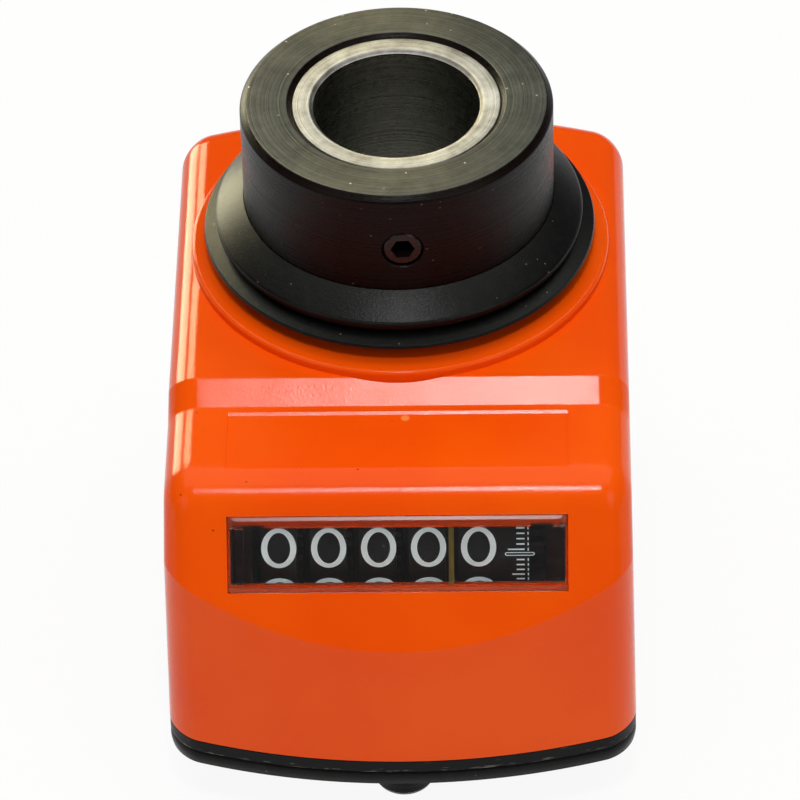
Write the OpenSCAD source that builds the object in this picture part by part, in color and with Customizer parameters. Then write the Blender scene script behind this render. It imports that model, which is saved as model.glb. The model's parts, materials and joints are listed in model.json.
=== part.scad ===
// Mechanical position indicator with a hollow shaft and a five-wheel counter.
// Millimetres. The origin is on the shaft's axis, on the rear mounting face.
// Z points along the shaft, X runs along the window, and the window faces -Y.

/* [Housing] */
// Width of the housing across its base
body_w = 45; // [44:0.5:50]
// Distance from the shaft's axis to the front end, on the centre line
front_reach = 41.4; // [40.5:0.1:44]
// Distance from the shaft's axis to the back end, on the centre line
back_reach = 22; // [21.5:0.1:26]
// Plan radius of the two bowed ends
end_r = 65; // [55:1:120]
// Radius of the upright corners
corner_r = 3; // [2.5:0.1:5]
// Radius of the rounded top edges
edge_r = 3; // [1:0.1:3.5]
// Draft of the side walls in degrees
draft = 1.1; // [0.2:0.1:2]
// Height of the top face above the mounting face
body_h = 33.3; // [32.5:0.1:37]
// Step from the top face down to the label panel
panel_drop = 1.7; // [1:0.1:3]
// Run of that step from its foot to its upper edge
step_run = 2.35; // [1.5:0.05:3]
// Distance from the shaft's axis to the upper edge of that step
step_reach = 19.8; // [18:0.1:21]
// Radius of the edge between the panel and the window face
lip_r = 4.5; // [1:0.1:5]
// Wall thickness
wall = 2.2; // [1.6:0.1:2.6]
// Radius of the raised round boss
boss_r = 20.3; // [19.5:0.1:21]
// Height of the boss above the top face
boss_h = 0.9; // [0.4:0.1:2]
// Radius of the boss's rounded edge
boss_edge = 0.4; // [0.1:0.1:0.4]
// Length of the shaft's bearing in the top wall
bearing_l = 10; // [6:0.5:14]
// Wall of the bearing collars around the shaft
bearing_wall = 2.2; // [1.2:0.1:3]
// Width of the label recess
label_w = 32.2; // [20:0.1:34]
// Length of the label recess
label_l = 7.9; // [4:0.1:8]
// Depth of the label recess
label_depth = 0.2; // [0.1:0.05:0.5]
// Distance from the foot of the step to the label recess
label_gap = 0.7; // [0.3:0.1:1]

/* [Window] */
// Tilt of the window face from upright in degrees
tilt = 31.3; // [25:0.1:38]
// Height at which the window face meets the front end, on the centre line
foot_z = 17.7; // [15:0.1:18.5]
// Distance of the lens's centre down the window face from the lip's corner
lens_drop = 6.8; // [6.5:0.05:8]
// Width of the lens
lens_w = 32; // [29:0.1:34]
// Height of the lens along the window face
lens_h = 7.4; // [6.4:0.1:7.6]
// Thickness of the lens
lens_t = 1.8; // [1.2:0.1:2.5]
// Bevel around the lens's front face
lens_bevel = 0.45; // [0.1:0.05:0.6]
// Thickness of the ledge that the lens rests on
ledge_t = 1.2; // [0.8:0.1:2]
// Width of the ledge at both ends of the opening
ledge_w = 0.5; // [0.4:0.05:1.2]
// Width of the ledge above the opening
ledge_top = 1.4; // [0.8:0.05:1.6]
// Width of the ledge below the opening
ledge_low = 0.55; // [0.4:0.05:1]
// Width of the taller clip openings at both ends
clip_w = 3; // [2:0.1:4]
// Rise of the clip openings above the opening between them
clip_rise = 0.3; // [0.1:0.05:0.5]
// Thickness of the lens's spring clips
clip_t = 0.9; // [0.5:0.1:1.2]
// Width of the decimal bar
decimal_w = 0.5; // [0.4:0.1:1]
// Thickness of the decimal bar
decimal_t = 0.6; // [0.3:0.1:0.9]

/* [Rear] */
// Thickness of the rear gasket
gasket_t = 1.8; // [1.6:0.1:3]
// Thickness of the back cover
cover_t = 1.5; // [1.4:0.1:2.5]
// Height of the back cover's rim inside the housing
rim_h = 1.7; // [1:0.1:2.5]
// Thickness of that rim
rim_t = 1.2; // [0.8:0.1:2]
// Diameter of the locating pin
pin_d = 6; // [4:0.1:8]
// Distance from the shaft's axis to the locating pin
pin_reach = 34; // [28:0.1:35]
// Length of the locating pin below the mounting face
pin_l = 6; // [4:0.1:12]
// Depth of the locating pin in the back cover
pin_seat = 5; // [3:0.1:5.5]
// Step from the locating pin to its thicker stem in the back cover
pin_step = 0.3; // [0.2:0.1:0.5]
// Wall of the locating pin's boss
pin_wall = 1.5; // [1:0.1:2]
// Radius of the screw posts in the corners
post_r = 2.4; // [2:0.1:3]
// Shank radius of the cover screws
cover_screw_r = 1.1; // [0.8:0.05:1.3]
// Head radius of the cover screws
cover_head_r = 2.1; // [1.8:0.05:2.4]
// Length of the cover screws
cover_screw_l = 8; // [6:0.5:12]

/* [Shaft] */
// Bore of the reducing sleeve
bore_d = 16; // [10:0.5:17]
// Bore of the hollow shaft
shaft_bore_d = 20; // [18:0.5:20.5]
// Outside diameter of the hollow shaft in its bearings
shaft_d = 23; // [22.5:0.1:24]
// Diameter of the collar
collar_d = 30; // [29:0.5:32]
// Overall length of the hollow shaft
shaft_l = 51.1; // [49:0.1:58]
// Chamfer around the collar's face
collar_chamfer = 0.7; // [0.2:0.1:1]
// Chamfer at the mouth of the shaft's bore
bore_chamfer = 0.5; // [0.2:0.1:0.8]
// Depth of the sleeve's face below the collar's face
sleeve_sink = 0.35; // [0.1:0.05:1]
// Chamfer at the mouth of the sleeve's bore
sleeve_chamfer = 0.35; // [0.1:0.05:0.6]
// Radius of the set screw
set_screw_r = 2; // [1.5:0.1:2.5]
// Length of the set screw
set_screw_l = 6.6; // [4:0.1:6.7]
// Width across the flats of the set screw's socket
socket_af = 2; // [1.5:0.1:2.5]
// Distance from the collar's face to the set screw
set_screw_drop = 6.25; // [4:0.05:8]
// Turn of the set screw from the front in degrees
set_screw_turn = 2.5; // [-90:0.5:90]
// Thickness of the thrust washer
washer_t = 0.5; // [0.3:0.1:1]
// Thickness of the retaining ring
ring_t = 1; // [0.6:0.1:1.1]
// Depth of the retaining ring's groove
groove_depth = 0.6; // [0.3:0.1:0.8]
// Reach of the retaining ring beyond the shaft
ring_reach = 1.7; // [1.1:0.1:2.5]

/* [Seal] */
// Height of the shaft seal
seal_h = 5.6; // [5:0.1:7]
// Thickness of the seal's body
seal_body = 2.8; // [2:0.1:3.5]
// Reach of the seal's lip beyond the collar
seal_lip = 4; // [3.5:0.1:5]
// Height of the lip's edge above the boss
seal_lip_z = 1.8; // [1:0.1:2.2]
// Gap between the seal and the boss
seal_gap = 0.3; // [0.2:0.05:0.5]

/* [Counter] */
// Outside radius of the number wheels
wheel_r = 7.9; // [7.4:0.1:8]
// Width of the fine scale beside the units, as a share of the distance between two wheels
scale_share = 0.667; // [0.5:0.001:0.75]
// Thickness of the carry flanges on the wheels
flange_t = 0.5; // [0.4:0.05:0.5]
// Distance of the counter's middle to the right of the housing's middle
counter_shift = -0.05; // [-0.1:0.05:0.2]
// Side room between the counter frame and its posts
frame_room = 0.5; // [0.3:0.05:0.8]
// Gap between the wheels and the window's ledge
wheel_gap = 0.6; // [0.4:0.1:1]
// Radius of the wheels' axle
axle_r = 1.5; // [1:0.1:1.8]
// Radius of the carry pinions' axle
pinion_axle_r = 0.8; // [0.6:0.05:0.85]
// Module of the carry gears
carry_m = 0.64; // [0.63:0.01:0.66]
// Direction of the carry pinions from the wheels' axle, above level, in degrees
carry_turn = 14; // [5:1:20]
// Thickness of the counter frame
frame_t = 1.6; // [1:0.1:1.8]
// Width of the counter frame's arms
arm_w = 6; // [5:0.1:7]
// Shank radius of the frame screws
frame_screw_r = 0.9; // [0.6:0.05:1]
// Length of the frame screws
frame_screw_l = 6; // [4:0.5:10]

/* [Drive] */
// Teeth of the shaft's gear
shaft_teeth = 40; // [40:4:40]
// Teeth of the screw pinion
pinion_teeth = 8; // [8:1:8]
// Normal module of the shaft's gear and the screw pinion
drive_m = 0.525; // [0.52:0.005:0.54]
// Helix angle of the shaft's gear in degrees
helix = 37; // [36:0.5:38]
// Height of the gears' middle above the back cover
drive_rise = 8.2; // [8:0.1:9]
// Face width of the shaft's gear
shaft_gear_w = 7; // [5:0.5:7]
// Wall of the shaft's gear under its teeth, moulded into a groove of the shaft
gear_wall = 1.4; // [1.2:0.05:1.6]
// Length of the screw pinion
screw_pinion_l = 6; // [5:0.5:8]
// Teeth of the cross gear and of the units wheel's gear
spur_teeth = 22; // [18:2:24]
// Face width of those two gears
spur_w = 1.6; // [1:0.1:1.8]
// Radius of the cross shaft
cross_r = 1.25; // [1:0.05:1.5]

/* [Fits] */
// Radial clearance of a running fit
run_gap = 0.05; // [0.03:0.01:0.08]
// Radial clearance of a fixed fit
fixed_gap = 0.01; // [0.005:0.005:0.02]
// Side clearance of a part that slides or drops into place
slip_gap = 0.1; // [0.05:0.01:0.15]
// Share of the pitch that a gear tooth fills
tooth_share = 0.4; // [0.36:0.01:0.42]

/* [Hidden] */
$fn = 96;

// Room by which a cutting shape passes the face that it cuts
past = 1;

// Heights
cover_top = gasket_t + cover_t;
panel_z = body_h - panel_drop;
boss_top = body_h + boss_h;
collar_z = boss_top + washer_t + run_gap;
drive_z = cover_top + drive_rise;
screw_z = shaft_l - set_screw_drop;

// Radii on the shaft
bore_r = bore_d / 2;
screw_chamfer = 0.15;
shaft_bore_r = shaft_bore_d / 2;
shaft_r = shaft_d / 2;
collar_r = collar_d / 2;
bearing_r = shaft_r + bearing_wall;
sleeve_r = shaft_bore_r - fixed_gap;
groove_r = shaft_r - groove_depth;
ring_r = shaft_r + ring_reach;

// Inside of the housing, upright, as wide as the drafted walls leave it at the top
half_w = body_w / 2;
lean = tan(draft) * (body_h - cover_top);
inner_half = half_w - lean - wall;
inner_front = front_reach - wall;
inner_back = back_reach - wall;
inner_end_r = end_r - wall;
inner_corner_r = max(corner_r - wall, 0.4);
corner_over = 0.04;
post_inset = 1.6;
post_x = inner_half - post_inset;
ear_post_r = 2.1;

// Window face, in the Y and Z plane: up along the face, and in through it
face_up = [sin(tilt), cos(tilt)];
face_in = [cos(tilt), -sin(tilt)];
lip_corner = [-front_reach + (panel_z - foot_z) * tan(tilt), panel_z];
lip_run = lip_r * tan((90 - tilt) / 2);
lens_mid = lip_corner - lens_drop * face_up;
window_wall = lens_t + ledge_t;
opening_h = lens_h - ledge_top - ledge_low;
opening_low = ledge_low - lens_h / 2;
opening_w = lens_w - 2 * ledge_w;

// Counter: wheels, axles and gear centres, each as [y, z]
wheel_mid = lens_mid + (window_wall + wheel_gap + wheel_r) * face_in;
last_wheel = 4;
cheek_room = 1;
frame_span = 2 * (post_x - ear_post_r - frame_room);
frame_ends = cheek_room + spur_w + slip_gap + 2 * frame_t;
band_room = 2 * (flange_t + slip_gap);
wheel_pitch = (frame_span - frame_ends + band_room) / (last_wheel + 1 + scale_share);
band_w = wheel_pitch - band_room;
scale_w = scale_share * wheel_pitch;
counter_x = counter_shift - (scale_w + spur_w + slip_gap - cheek_room) / 2;
function wheel_x(i) = counter_x + (i - 2) * wheel_pitch;
carry_teeth = 20;
carry_pinion_teeth = 8;
carry_r = carry_m * carry_teeth / 2;
carry_pinion_r = carry_m * carry_pinion_teeth / 2;
pinion_mid = wheel_mid + (carry_r + carry_pinion_r) * [cos(carry_turn), sin(carry_turn)];
wheels_left = wheel_x(0) - band_w / 2;
spur_x = wheel_x(last_wheel) + band_w / 2 + scale_w;
hub_wall = 1.5;
wheel_hub_r = axle_r + hub_wall;
left_cheek = wheels_left - cheek_room;
right_cheek = spur_x + spur_w + slip_gap;

// Crossed helical gears, with their axes at right angles
shaft_gear_r = drive_m * shaft_teeth / (2 * cos(helix));
screw_pinion_r = drive_m * pinion_teeth / (2 * sin(helix));
cross_mid = [-(shaft_gear_r + screw_pinion_r), drive_z];
tooth_tip = 0.83;
tooth_root = 1.08;
pressure = 20;
gear_seat_r = shaft_gear_r - drive_m * tooth_root - gear_wall;

// Spur gears, sized by the distance between the cross shaft and the wheels' axle
spur_line = wheel_mid - cross_mid;
spur_turn = atan2(spur_line.y, spur_line.x);
spur_r = norm(spur_line) / 2;
spur_m = 2 * spur_r / spur_teeth;

// Counter frame: base plate under the wheels, ears on posts at both sides
plate_gap = 1.7;
plate_top = wheel_mid.y - wheel_r - plate_gap;
plate_front = wheel_mid.x - arm_w;
plate_back = wheel_mid.x + 1;
ear_y = wheel_mid.x - 1;
ear_half = ear_post_r + slip_gap;
ear_end = inner_half - 2 * slip_gap;
axle_chamfer = 0.2;
eye_wall = 0.3;
frame_head_wall = 0.6;
frame_head_h = 1.1;

// Corner posts
post_bow = inner_end_r - sqrt(inner_end_r * inner_end_r - post_x * post_x);
post_y = [-(inner_front - post_bow - post_inset), inner_back - post_bow - post_inset];
post_spots = [for (x = [-post_x, post_x], y = post_y) [x, y]];
cover_head_h = cover_head_r - cover_screw_r;
screw_slot = 0.5;
slot_share = 0.7;
socket_depth = 1.8;
gasket_hole_r = 1.09 * ring_r;
stem_r = pin_d / 2 + pin_step;
rim_gap = slip_gap;

// Moves a shape drawn in the Y and Z plane to a place along X, drawn towards +X
module along_x(x, at = [0, 0]) {
    translate([x, at.x, at.y]) rotate([90, 0, 90]) children();
}

// Places a shape on the window face: its X along the window, its Y up the face, its Z outwards
module on_window(depth = 0) {
    spot = lens_mid + depth * face_in;
    translate([0, spot.x, spot.y]) rotate([90 - tilt, 0, 0]) children();
}

// Turns a shape drawn upright so that it points out along the set screw
module on_set_screw(reach) {
    rotate([0, 0, set_screw_turn]) translate([0, -reach, screw_z]) rotate([90, 0, 0]) children();
}

// Bar of a width between two points
module bar(a, b, w) {
    run = b - a;
    translate(a) rotate(atan2(run.y, run.x)) translate([0, -w / 2]) square([norm(run), w]);
}

// Plan of the housing: two bowed ends joined by straight sides, with round corners that cross
// the sides and ends at a slight angle
module plan(half, front, back, r_end, r_corner) {
    corner_x = half - r_corner;
    drop = sqrt(pow(r_end - r_corner, 2) - corner_x * corner_x);
    grow = r_end / (r_end - r_corner);
    front_mid = r_end - front;
    back_mid = back - r_end;
    side_spot = [half, drop];
    end_spot = [corner_x * grow, drop * grow];
    cut = (side_spot - end_spot) / 2;
    out = side_spot + cut;
    in = end_spot - cut;
    intersection() {
        translate([0, front_mid]) circle(r_end, $fn = 4 * $fn);
        translate([0, back_mid]) circle(r_end, $fn = 4 * $fn);
        translate([-half, -front - past]) square([2 * half, front + back + 2 * past]);
        union() {
            polygon([
                [out.x, front_mid - out.y], [out.x, back_mid + out.y], [in.x, back_mid + in.y],
                [in.x, back + past], [-in.x, back + past], [-in.x, back_mid + in.y],
                [-out.x, back_mid + out.y], [-out.x, front_mid - out.y], [-in.x, front_mid - in.y],
                [-in.x, -front - past], [in.x, -front - past], [in.x, front_mid - in.y]
            ]);
            for (x = [-corner_x, corner_x], y = [front_mid - drop, back_mid + drop]) {
                translate([x, y]) circle(r_corner + corner_over);
            }
        }
    }
}

module outer_plan() { plan(half_w, front_reach, back_reach, end_r, corner_r); }

module inner_plan(inset = 0) {
    plan(inner_half - inset, inner_front - inset, inner_back - inset, inner_end_r - inset,
        max(inner_corner_r - inset, 0.3));
}

// Side view of the housing: top face, step, panel, round lip and window face
module side_view() {
    lip_start = lip_corner + [lip_run, 0];
    lip_end = lip_corner - lip_run * face_up;
    below = foot_z - past / tan(tilt);
    polygon([
        [back_reach + past, 0], [back_reach + past, body_h], [-step_reach, body_h],
        [-step_reach - step_run, panel_z], lip_start, lip_end,
        [-front_reach - past, below], [-front_reach - past, 0]
    ]);
    translate(lip_start - [0, lip_r]) circle(lip_r);
}

// Side view of the room inside the housing
module inner_side_view() {
    face_foot = [-front_reach, foot_z] + window_wall * face_in;
    ceiling = panel_z - wall;
    step_in = step_reach - wall * tan(atan2(panel_drop, step_run) / 2);
    polygon([
        [back_reach, 0], [back_reach, body_h - wall], [-step_in, body_h - wall],
        [-step_in - step_run, ceiling],
        [face_foot.x + (ceiling - face_foot.y) * tan(tilt), ceiling],
        [-front_reach, face_foot.y - (front_reach + face_foot.x) / tan(tilt)], [-front_reach, 0]
    ]);
}

// Front view of the drafted sides under a top face, with round top edges
module front_view(top) {
    mid_z = top - edge_r;
    mid_x = half_w - tan(draft) * (mid_z - cover_top) - edge_r / cos(draft);
    touch = [mid_x + edge_r * cos(draft), mid_z + edge_r * sin(draft)];
    polygon([
        [-half_w, cover_top], [half_w, cover_top], touch, [mid_x, top], [-mid_x, top],
        [-touch.x, touch.y]
    ]);
    for (x = [-mid_x, mid_x]) translate([x, mid_z]) circle(edge_r);
}

// Bowed back end with a round top edge, as a turned shape about the bow's centre
module back_round() {
    translate([0, back_reach - end_r, 0]) rotate_extrude($fn = 4 * $fn) {
        polygon([
            [0, 0], [end_r, 0], [end_r, body_h - edge_r], [end_r - edge_r, body_h], [0, body_h]
        ]);
        intersection() {
            translate([end_r - edge_r, body_h - edge_r]) circle(edge_r);
            square([end_r, body_h]);
        }
    }
}

// Window face with round edges at both sides, as a long bar along the face
module window_round() {
    face_half = half_w - tan(draft) * (lens_mid.y - cover_top);
    flat_half = face_half - edge_r;
    deep = 2 * front_reach + back_reach;
    spread = 10;
    wide = face_half + deep * tan(spread);
    on_window() translate([0, deep, 0]) rotate([90, 0, 0]) linear_extrude(2 * deep) {
        polygon([
            [-flat_half, 0], [flat_half, 0], [face_half, -edge_r], [wide, -edge_r - deep],
            [-wide, -edge_r - deep], [-face_half, -edge_r]
        ]);
        for (x = [-flat_half, flat_half]) translate([x, -edge_r]) circle(edge_r);
    }
}

module sides(top, front, back) {
    translate([0, back, 0]) rotate([90, 0, 0]) linear_extrude(front + back) front_view(top);
}

module boss() {
    rotate_extrude() {
        polygon([
            [0, body_h - wall], [boss_r, body_h - wall], [boss_r, boss_top - boss_edge],
            [boss_r - boss_edge, boss_top], [0, boss_top]
        ]);
        translate([boss_r - boss_edge, boss_top - boss_edge]) circle(boss_edge, $fn = 24);
    }
}

module outer_body() {
    intersection() {
        linear_extrude(body_h) outer_plan();
        back_round();
        along_x(-body_w) linear_extrude(2 * body_w) side_view();
        window_round();
        union() {
            sides(panel_z, front_reach + past, past - step_reach);
            sides(body_h, step_reach + step_run, back_reach + past);
        }
    }
    boss();
}

// Room inside the housing, around the screw posts and the shaft's bearing
module cavity() {
    difference() {
        intersection() {
            translate([0, 0, -past]) linear_extrude(body_h + past) inner_plan();
            along_x(-body_w) linear_extrude(2 * body_w) inner_side_view();
        }
        for (spot = post_spots) translate([spot.x, spot.y, 0]) cylinder(r = post_r, h = body_h);
        for (x = [-post_x, post_x]) {
            translate([x, ear_y, plate_top]) cylinder(r = ear_post_r, h = body_h - plate_top);
        }
        translate([0, 0, boss_top - bearing_l]) cylinder(r = bearing_r, h = bearing_l);
    }
}

// Opening behind the lens, taller at both ends for the lens's clips
module window_opening() {
    on_window(window_wall + past) {
        linear_extrude(window_wall + past) {
            translate([-opening_w / 2, opening_low]) square([opening_w, opening_h]);
            for (x = [-opening_w / 2, opening_w / 2 - clip_w]) translate([x, opening_low]) {
                square([clip_w, opening_h + clip_rise]);
            }
        }
    }
    on_window(lens_t) {
        linear_extrude(lens_t + past) square([lens_w, lens_h], center = true);
    }
}

module housing() {
    color("#f2600c") difference() {
        outer_body();
        cavity();
        translate([0, 0, -past]) cylinder(r = half_w + back_reach + front_reach, h = cover_top + past);
        cylinder(r = shaft_r + run_gap, h = boss_top + past);
        window_opening();
        translate([-label_w / 2, -step_reach - step_run - label_gap - label_l, panel_z - label_depth]) {
            cube([label_w, label_l, label_depth + past]);
        }
        for (spot = post_spots) translate([spot.x, spot.y, cover_top - past]) {
            cylinder(r = cover_screw_r + fixed_gap, h = cover_screw_l + past);
        }
        for (x = [-post_x, post_x]) translate([x, ear_y, plate_top - past]) {
            cylinder(r = frame_screw_r + fixed_gap, h = frame_screw_l + past);
        }
    }
}

module back_cover() {
    pin_boss_r = stem_r + pin_wall;
    color("#1d1d1f") difference() {
        union() {
            translate([0, 0, gasket_t]) linear_extrude(cover_t) outer_plan();
            translate([0, 0, gasket_t]) linear_extrude(cover_t + rim_h) difference() {
                inner_plan(rim_gap);
                inner_plan(rim_gap + rim_t);
                for (spot = post_spots) translate(spot) circle(post_r + 2 * slip_gap);
            }
            translate([0, 0, gasket_t]) cylinder(r = bearing_r, h = cover_t + rim_h);
            translate([0, -pin_reach, gasket_t]) cylinder(r = pin_boss_r, h = pin_seat + wall / 2);
        }
        cylinder(r = shaft_r + run_gap, h = cover_top + rim_h + past);
        translate([0, -pin_reach, 0]) cylinder(r = stem_r + fixed_gap, h = gasket_t + pin_seat);
        for (spot = post_spots) translate([spot.x, spot.y, gasket_t]) {
            translate([0, 0, -past]) cylinder(r = cover_screw_r + slip_gap, h = cover_t + rim_h + past);
            screw_head(slip_gap);
        }
    }
}

// Countersunk head of a cover screw, wide end down, with room around it
module screw_head(room = 0) {
    r = cover_head_r + room;
    cylinder(r1 = r, r2 = cover_screw_r + room, h = cover_head_h);
}

module cover_screws() {
    color("#9a9ca0") for (spot = post_spots) translate([spot.x, spot.y, gasket_t]) difference() {
        union() {
            screw_head();
            cylinder(r = cover_screw_r, h = cover_screw_l);
        }
        for (a = [0, 90]) rotate(a) translate([-cover_head_r / 2, -screw_slot / 2, -past]) {
            cube([cover_head_r, screw_slot, past + slot_share * cover_head_h]);
        }
    }
}

module rear_gasket() {
    color("#161616") linear_extrude(gasket_t) difference() {
        outer_plan();
        circle(gasket_hole_r);
        translate([0, -pin_reach]) circle(stem_r + slip_gap);
        for (spot = post_spots) translate(spot) circle(cover_head_r + 2 * slip_gap);
    }
}

module locating_pin() {
    nose = 0.5;
    r = pin_d / 2;
    color("#2a2a2c") translate([0, -pin_reach, 0]) rotate_extrude() polygon([
        [0, -pin_l], [r - nose, -pin_l], [r, nose - pin_l], [r, 0], [stem_r, 0],
        [stem_r, gasket_t + pin_seat], [0, gasket_t + pin_seat]
    ]);
}

// Clear lens: a plate with bevelled front edges and a spring clip behind each end
module window_lens() {
    w = lens_w - slip_gap;
    h = lens_h - slip_gap;
    clip_x = (opening_w - clip_t) / 2 - slip_gap;
    clip_h = opening_h - 2 * slip_gap;
    color("#d8e4e8", 0.4) {
        on_window(lens_t) intersection() {
            translate([0, h / 2, 0]) rotate([90, 0, 0]) linear_extrude(h) bevelled(w);
            translate([-w / 2, 0, 0]) rotate([90, 0, 90]) linear_extrude(w) bevelled(h);
        }
        on_window(window_wall) for (x = [-clip_x, clip_x]) {
            translate([x - clip_t / 2, opening_low + slip_gap, -slip_gap]) {
                cube([clip_t, clip_h, ledge_t + 2 * slip_gap]);
            }
        }
    }
}

// Section of the lens's plate across a width, front edges bevelled
module bevelled(w) {
    polygon([
        [-w / 2, 0], [w / 2, 0], [w / 2, lens_t - lens_bevel / 2],
        [w / 2 - lens_bevel, lens_t], [lens_bevel - w / 2, lens_t], [-w / 2, lens_t - lens_bevel / 2]
    ]);
}

// Bar that marks the decimal place, across the window's opening behind the lens
module decimal_bar() {
    gap_x = (wheel_x(last_wheel - 1) + wheel_x(last_wheel)) / 2;
    color("#d8b81c") on_window(lens_t + decimal_t) {
        translate([gap_x - decimal_w / 2, opening_low, 0]) cube([decimal_w, opening_h, decimal_t]);
    }
}

module hollow_shaft() {
    seat_low = drive_z - shaft_gear_w / 2 - fixed_gap;
    seat_top = drive_z + shaft_gear_w / 2 + fixed_gap;
    color("#2b2926") difference() {
        rotate_extrude() polygon([
            [shaft_bore_r, 0], [shaft_r, 0],
            [shaft_r, gasket_t - run_gap - ring_t - 2 * slip_gap],
            [groove_r, gasket_t - run_gap - ring_t - 2 * slip_gap],
            [groove_r, gasket_t - slip_gap], [shaft_r, gasket_t - slip_gap],
            [shaft_r, seat_low], [gear_seat_r, seat_low], [gear_seat_r, seat_top], [shaft_r, seat_top],
            [shaft_r, collar_z], [collar_r, collar_z],
            [collar_r, shaft_l - collar_chamfer], [collar_r - collar_chamfer, shaft_l],
            [shaft_bore_r + bore_chamfer, shaft_l], [shaft_bore_r, shaft_l - bore_chamfer]
        ]);
        on_set_screw(0) cylinder(r = set_screw_r + fixed_gap, h = collar_r + past, $fn = 48);
        on_set_screw(collar_r - screw_chamfer) {
            cylinder(r1 = set_screw_r, r2 = set_screw_r + 2 * screw_chamfer, h = 2 * screw_chamfer, $fn = 48);
        }
    }
}

module reducing_sleeve() {
    top = shaft_l - sleeve_sink;
    color("#8f8a80") difference() {
        rotate_extrude() polygon([
            [bore_r, 0], [sleeve_r, 0], [sleeve_r, top], [bore_r + sleeve_chamfer, top],
            [bore_r, top - sleeve_chamfer]
        ]);
        on_set_screw(0) cylinder(r = set_screw_r + slip_gap, h = collar_r, $fn = 48);
    }
}

module set_screw() {
    tip = bore_r + 2 * slip_gap;
    point = 0.6;
    color("#1c1c1e") on_set_screw(tip) difference() {
        union() {
            cylinder(r1 = set_screw_r - point, r2 = set_screw_r, h = point, $fn = 48);
            translate([0, 0, point]) cylinder(r = set_screw_r, h = set_screw_l - point, $fn = 48);
        }
        translate([0, 0, set_screw_l - socket_depth]) {
            cylinder(r = socket_af / sqrt(3), h = socket_depth + past, $fn = 6);
        }
    }
}

// Rubber V-ring stretched on the collar, its thin lip flaring towards the boss
module shaft_seal() {
    inner = collar_r + fixed_gap;
    body = collar_r + seal_body;
    lip = collar_r + seal_lip;
    heel = boss_top + seal_gap;
    lip_z = boss_top + seal_lip_z;
    top = heel + seal_h;
    heel_w = 1;
    lip_t = 0.3;
    groove = 1.2;
    groove_z = lip_z + 0.75;
    shoulder_z = top - 0.375 * seal_h;
    edge = 0.2;
    color("#19191b") rotate_extrude() polygon([
        [inner, heel], [inner + heel_w, heel], [lip, lip_z], [lip - lip_t / 2, lip_z + lip_t],
        [body - groove, groove_z], [body - groove + lip_t, groove_z + 2 * edge], [body, groove_z + 3 * edge],
        [body, shoulder_z], [body - edge, shoulder_z + edge], [inner, top]
    ]);
}

module thrust_washer() {
    color("#e6e0d2") translate([0, 0, boss_top]) difference() {
        cylinder(r = collar_r - 2 * slip_gap, h = washer_t);
        translate([0, 0, -past]) cylinder(r = shaft_r + slip_gap, h = washer_t + 2 * past);
    }
}

module retaining_ring() {
    gap_half = ring_r / 4.4;
    color("#4a4b4e") translate([0, 0, gasket_t - run_gap - ring_t - slip_gap]) difference() {
        cylinder(r = ring_r, h = ring_t);
        translate([0, 0, -past]) cylinder(r = groove_r + fixed_gap, h = ring_t + 2 * past);
        translate([-gap_half, 0, -past]) cube([2 * gap_half, ring_r + past, ring_t + 2 * past]);
    }
}

// Outline of a gear with straight flanks: tip and root heights, and the flank's slope
function gear_points(teeth, r, tip, root, slope) = [
    for (i = [0 : teeth - 1])
        let (half = tooth_share * PI * r / teeth)
        for (p = [
            [r - root, -(half + root * slope)], [r + tip, -(half - tip * slope)],
            [r + tip, half - tip * slope], [r - root, half + root * slope]
        ])
            let (a = 360 * i / teeth + p.y / r * 180 / PI) p.x * [cos(a), sin(a)]
];

module spur_outline(teeth, m) {
    polygon(gear_points(teeth, m * teeth / 2, m * tooth_tip, m * tooth_root, tan(pressure)));
}

// Right-handed helical gear about Z, its middle at the origin with a tooth or a gap at angle 0
module helical_gear(teeth, r, angle, w, steps) {
    turn = w * tan(angle) / r * 180 / PI;
    rotate(-turn / 2) linear_extrude(w, center = true, twist = -turn, slices = steps) polygon(
        gear_points(teeth, r, drive_m * tooth_tip, drive_m * tooth_root, tan(pressure) / cos(angle))
    );
}

module shaft_gear() {
    color("#efe9d8") translate([0, 0, drive_z]) difference() {
        rotate(-90) helical_gear(shaft_teeth, shaft_gear_r, helix, shaft_gear_w, 5);
        translate([0, 0, -shaft_gear_w]) cylinder(r = gear_seat_r + fixed_gap, h = 2 * shaft_gear_w);
    }
}

module screw_pinion() {
    color("#efe9d8") along_x(0, cross_mid) difference() {
        rotate(180 / pinion_teeth) {
            helical_gear(pinion_teeth, screw_pinion_r, 90 - helix, screw_pinion_l, 16);
        }
        translate([0, 0, -screw_pinion_l]) cylinder(r = cross_r + fixed_gap, h = 2 * screw_pinion_l);
    }
}

module cross_shaft() {
    shoulder = 1;
    color("#a9abae") along_x(left_cheek - frame_t, cross_mid) {
        cylinder(r = cross_r, h = right_cheek - left_cheek + 2 * frame_t);
        translate([0, 0, frame_t + slip_gap]) cylinder(r = cross_r + shoulder, h = shoulder);
    }
}

module cross_gear() {
    gear_w = spur_w - 2 * slip_gap;
    color("#efe9d8") along_x(spur_x + 2 * slip_gap, cross_mid) difference() {
        union() {
            linear_extrude(gear_w) rotate(spur_turn) spur_outline(spur_teeth, spur_m);
            translate([0, 0, -hub_wall]) cylinder(r = cross_r + hub_wall, h = hub_wall + gear_w);
        }
        translate([0, 0, -hub_wall - past]) {
            cylinder(r = cross_r + fixed_gap, h = hub_wall + gear_w + 2 * past);
        }
    }
}

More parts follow.
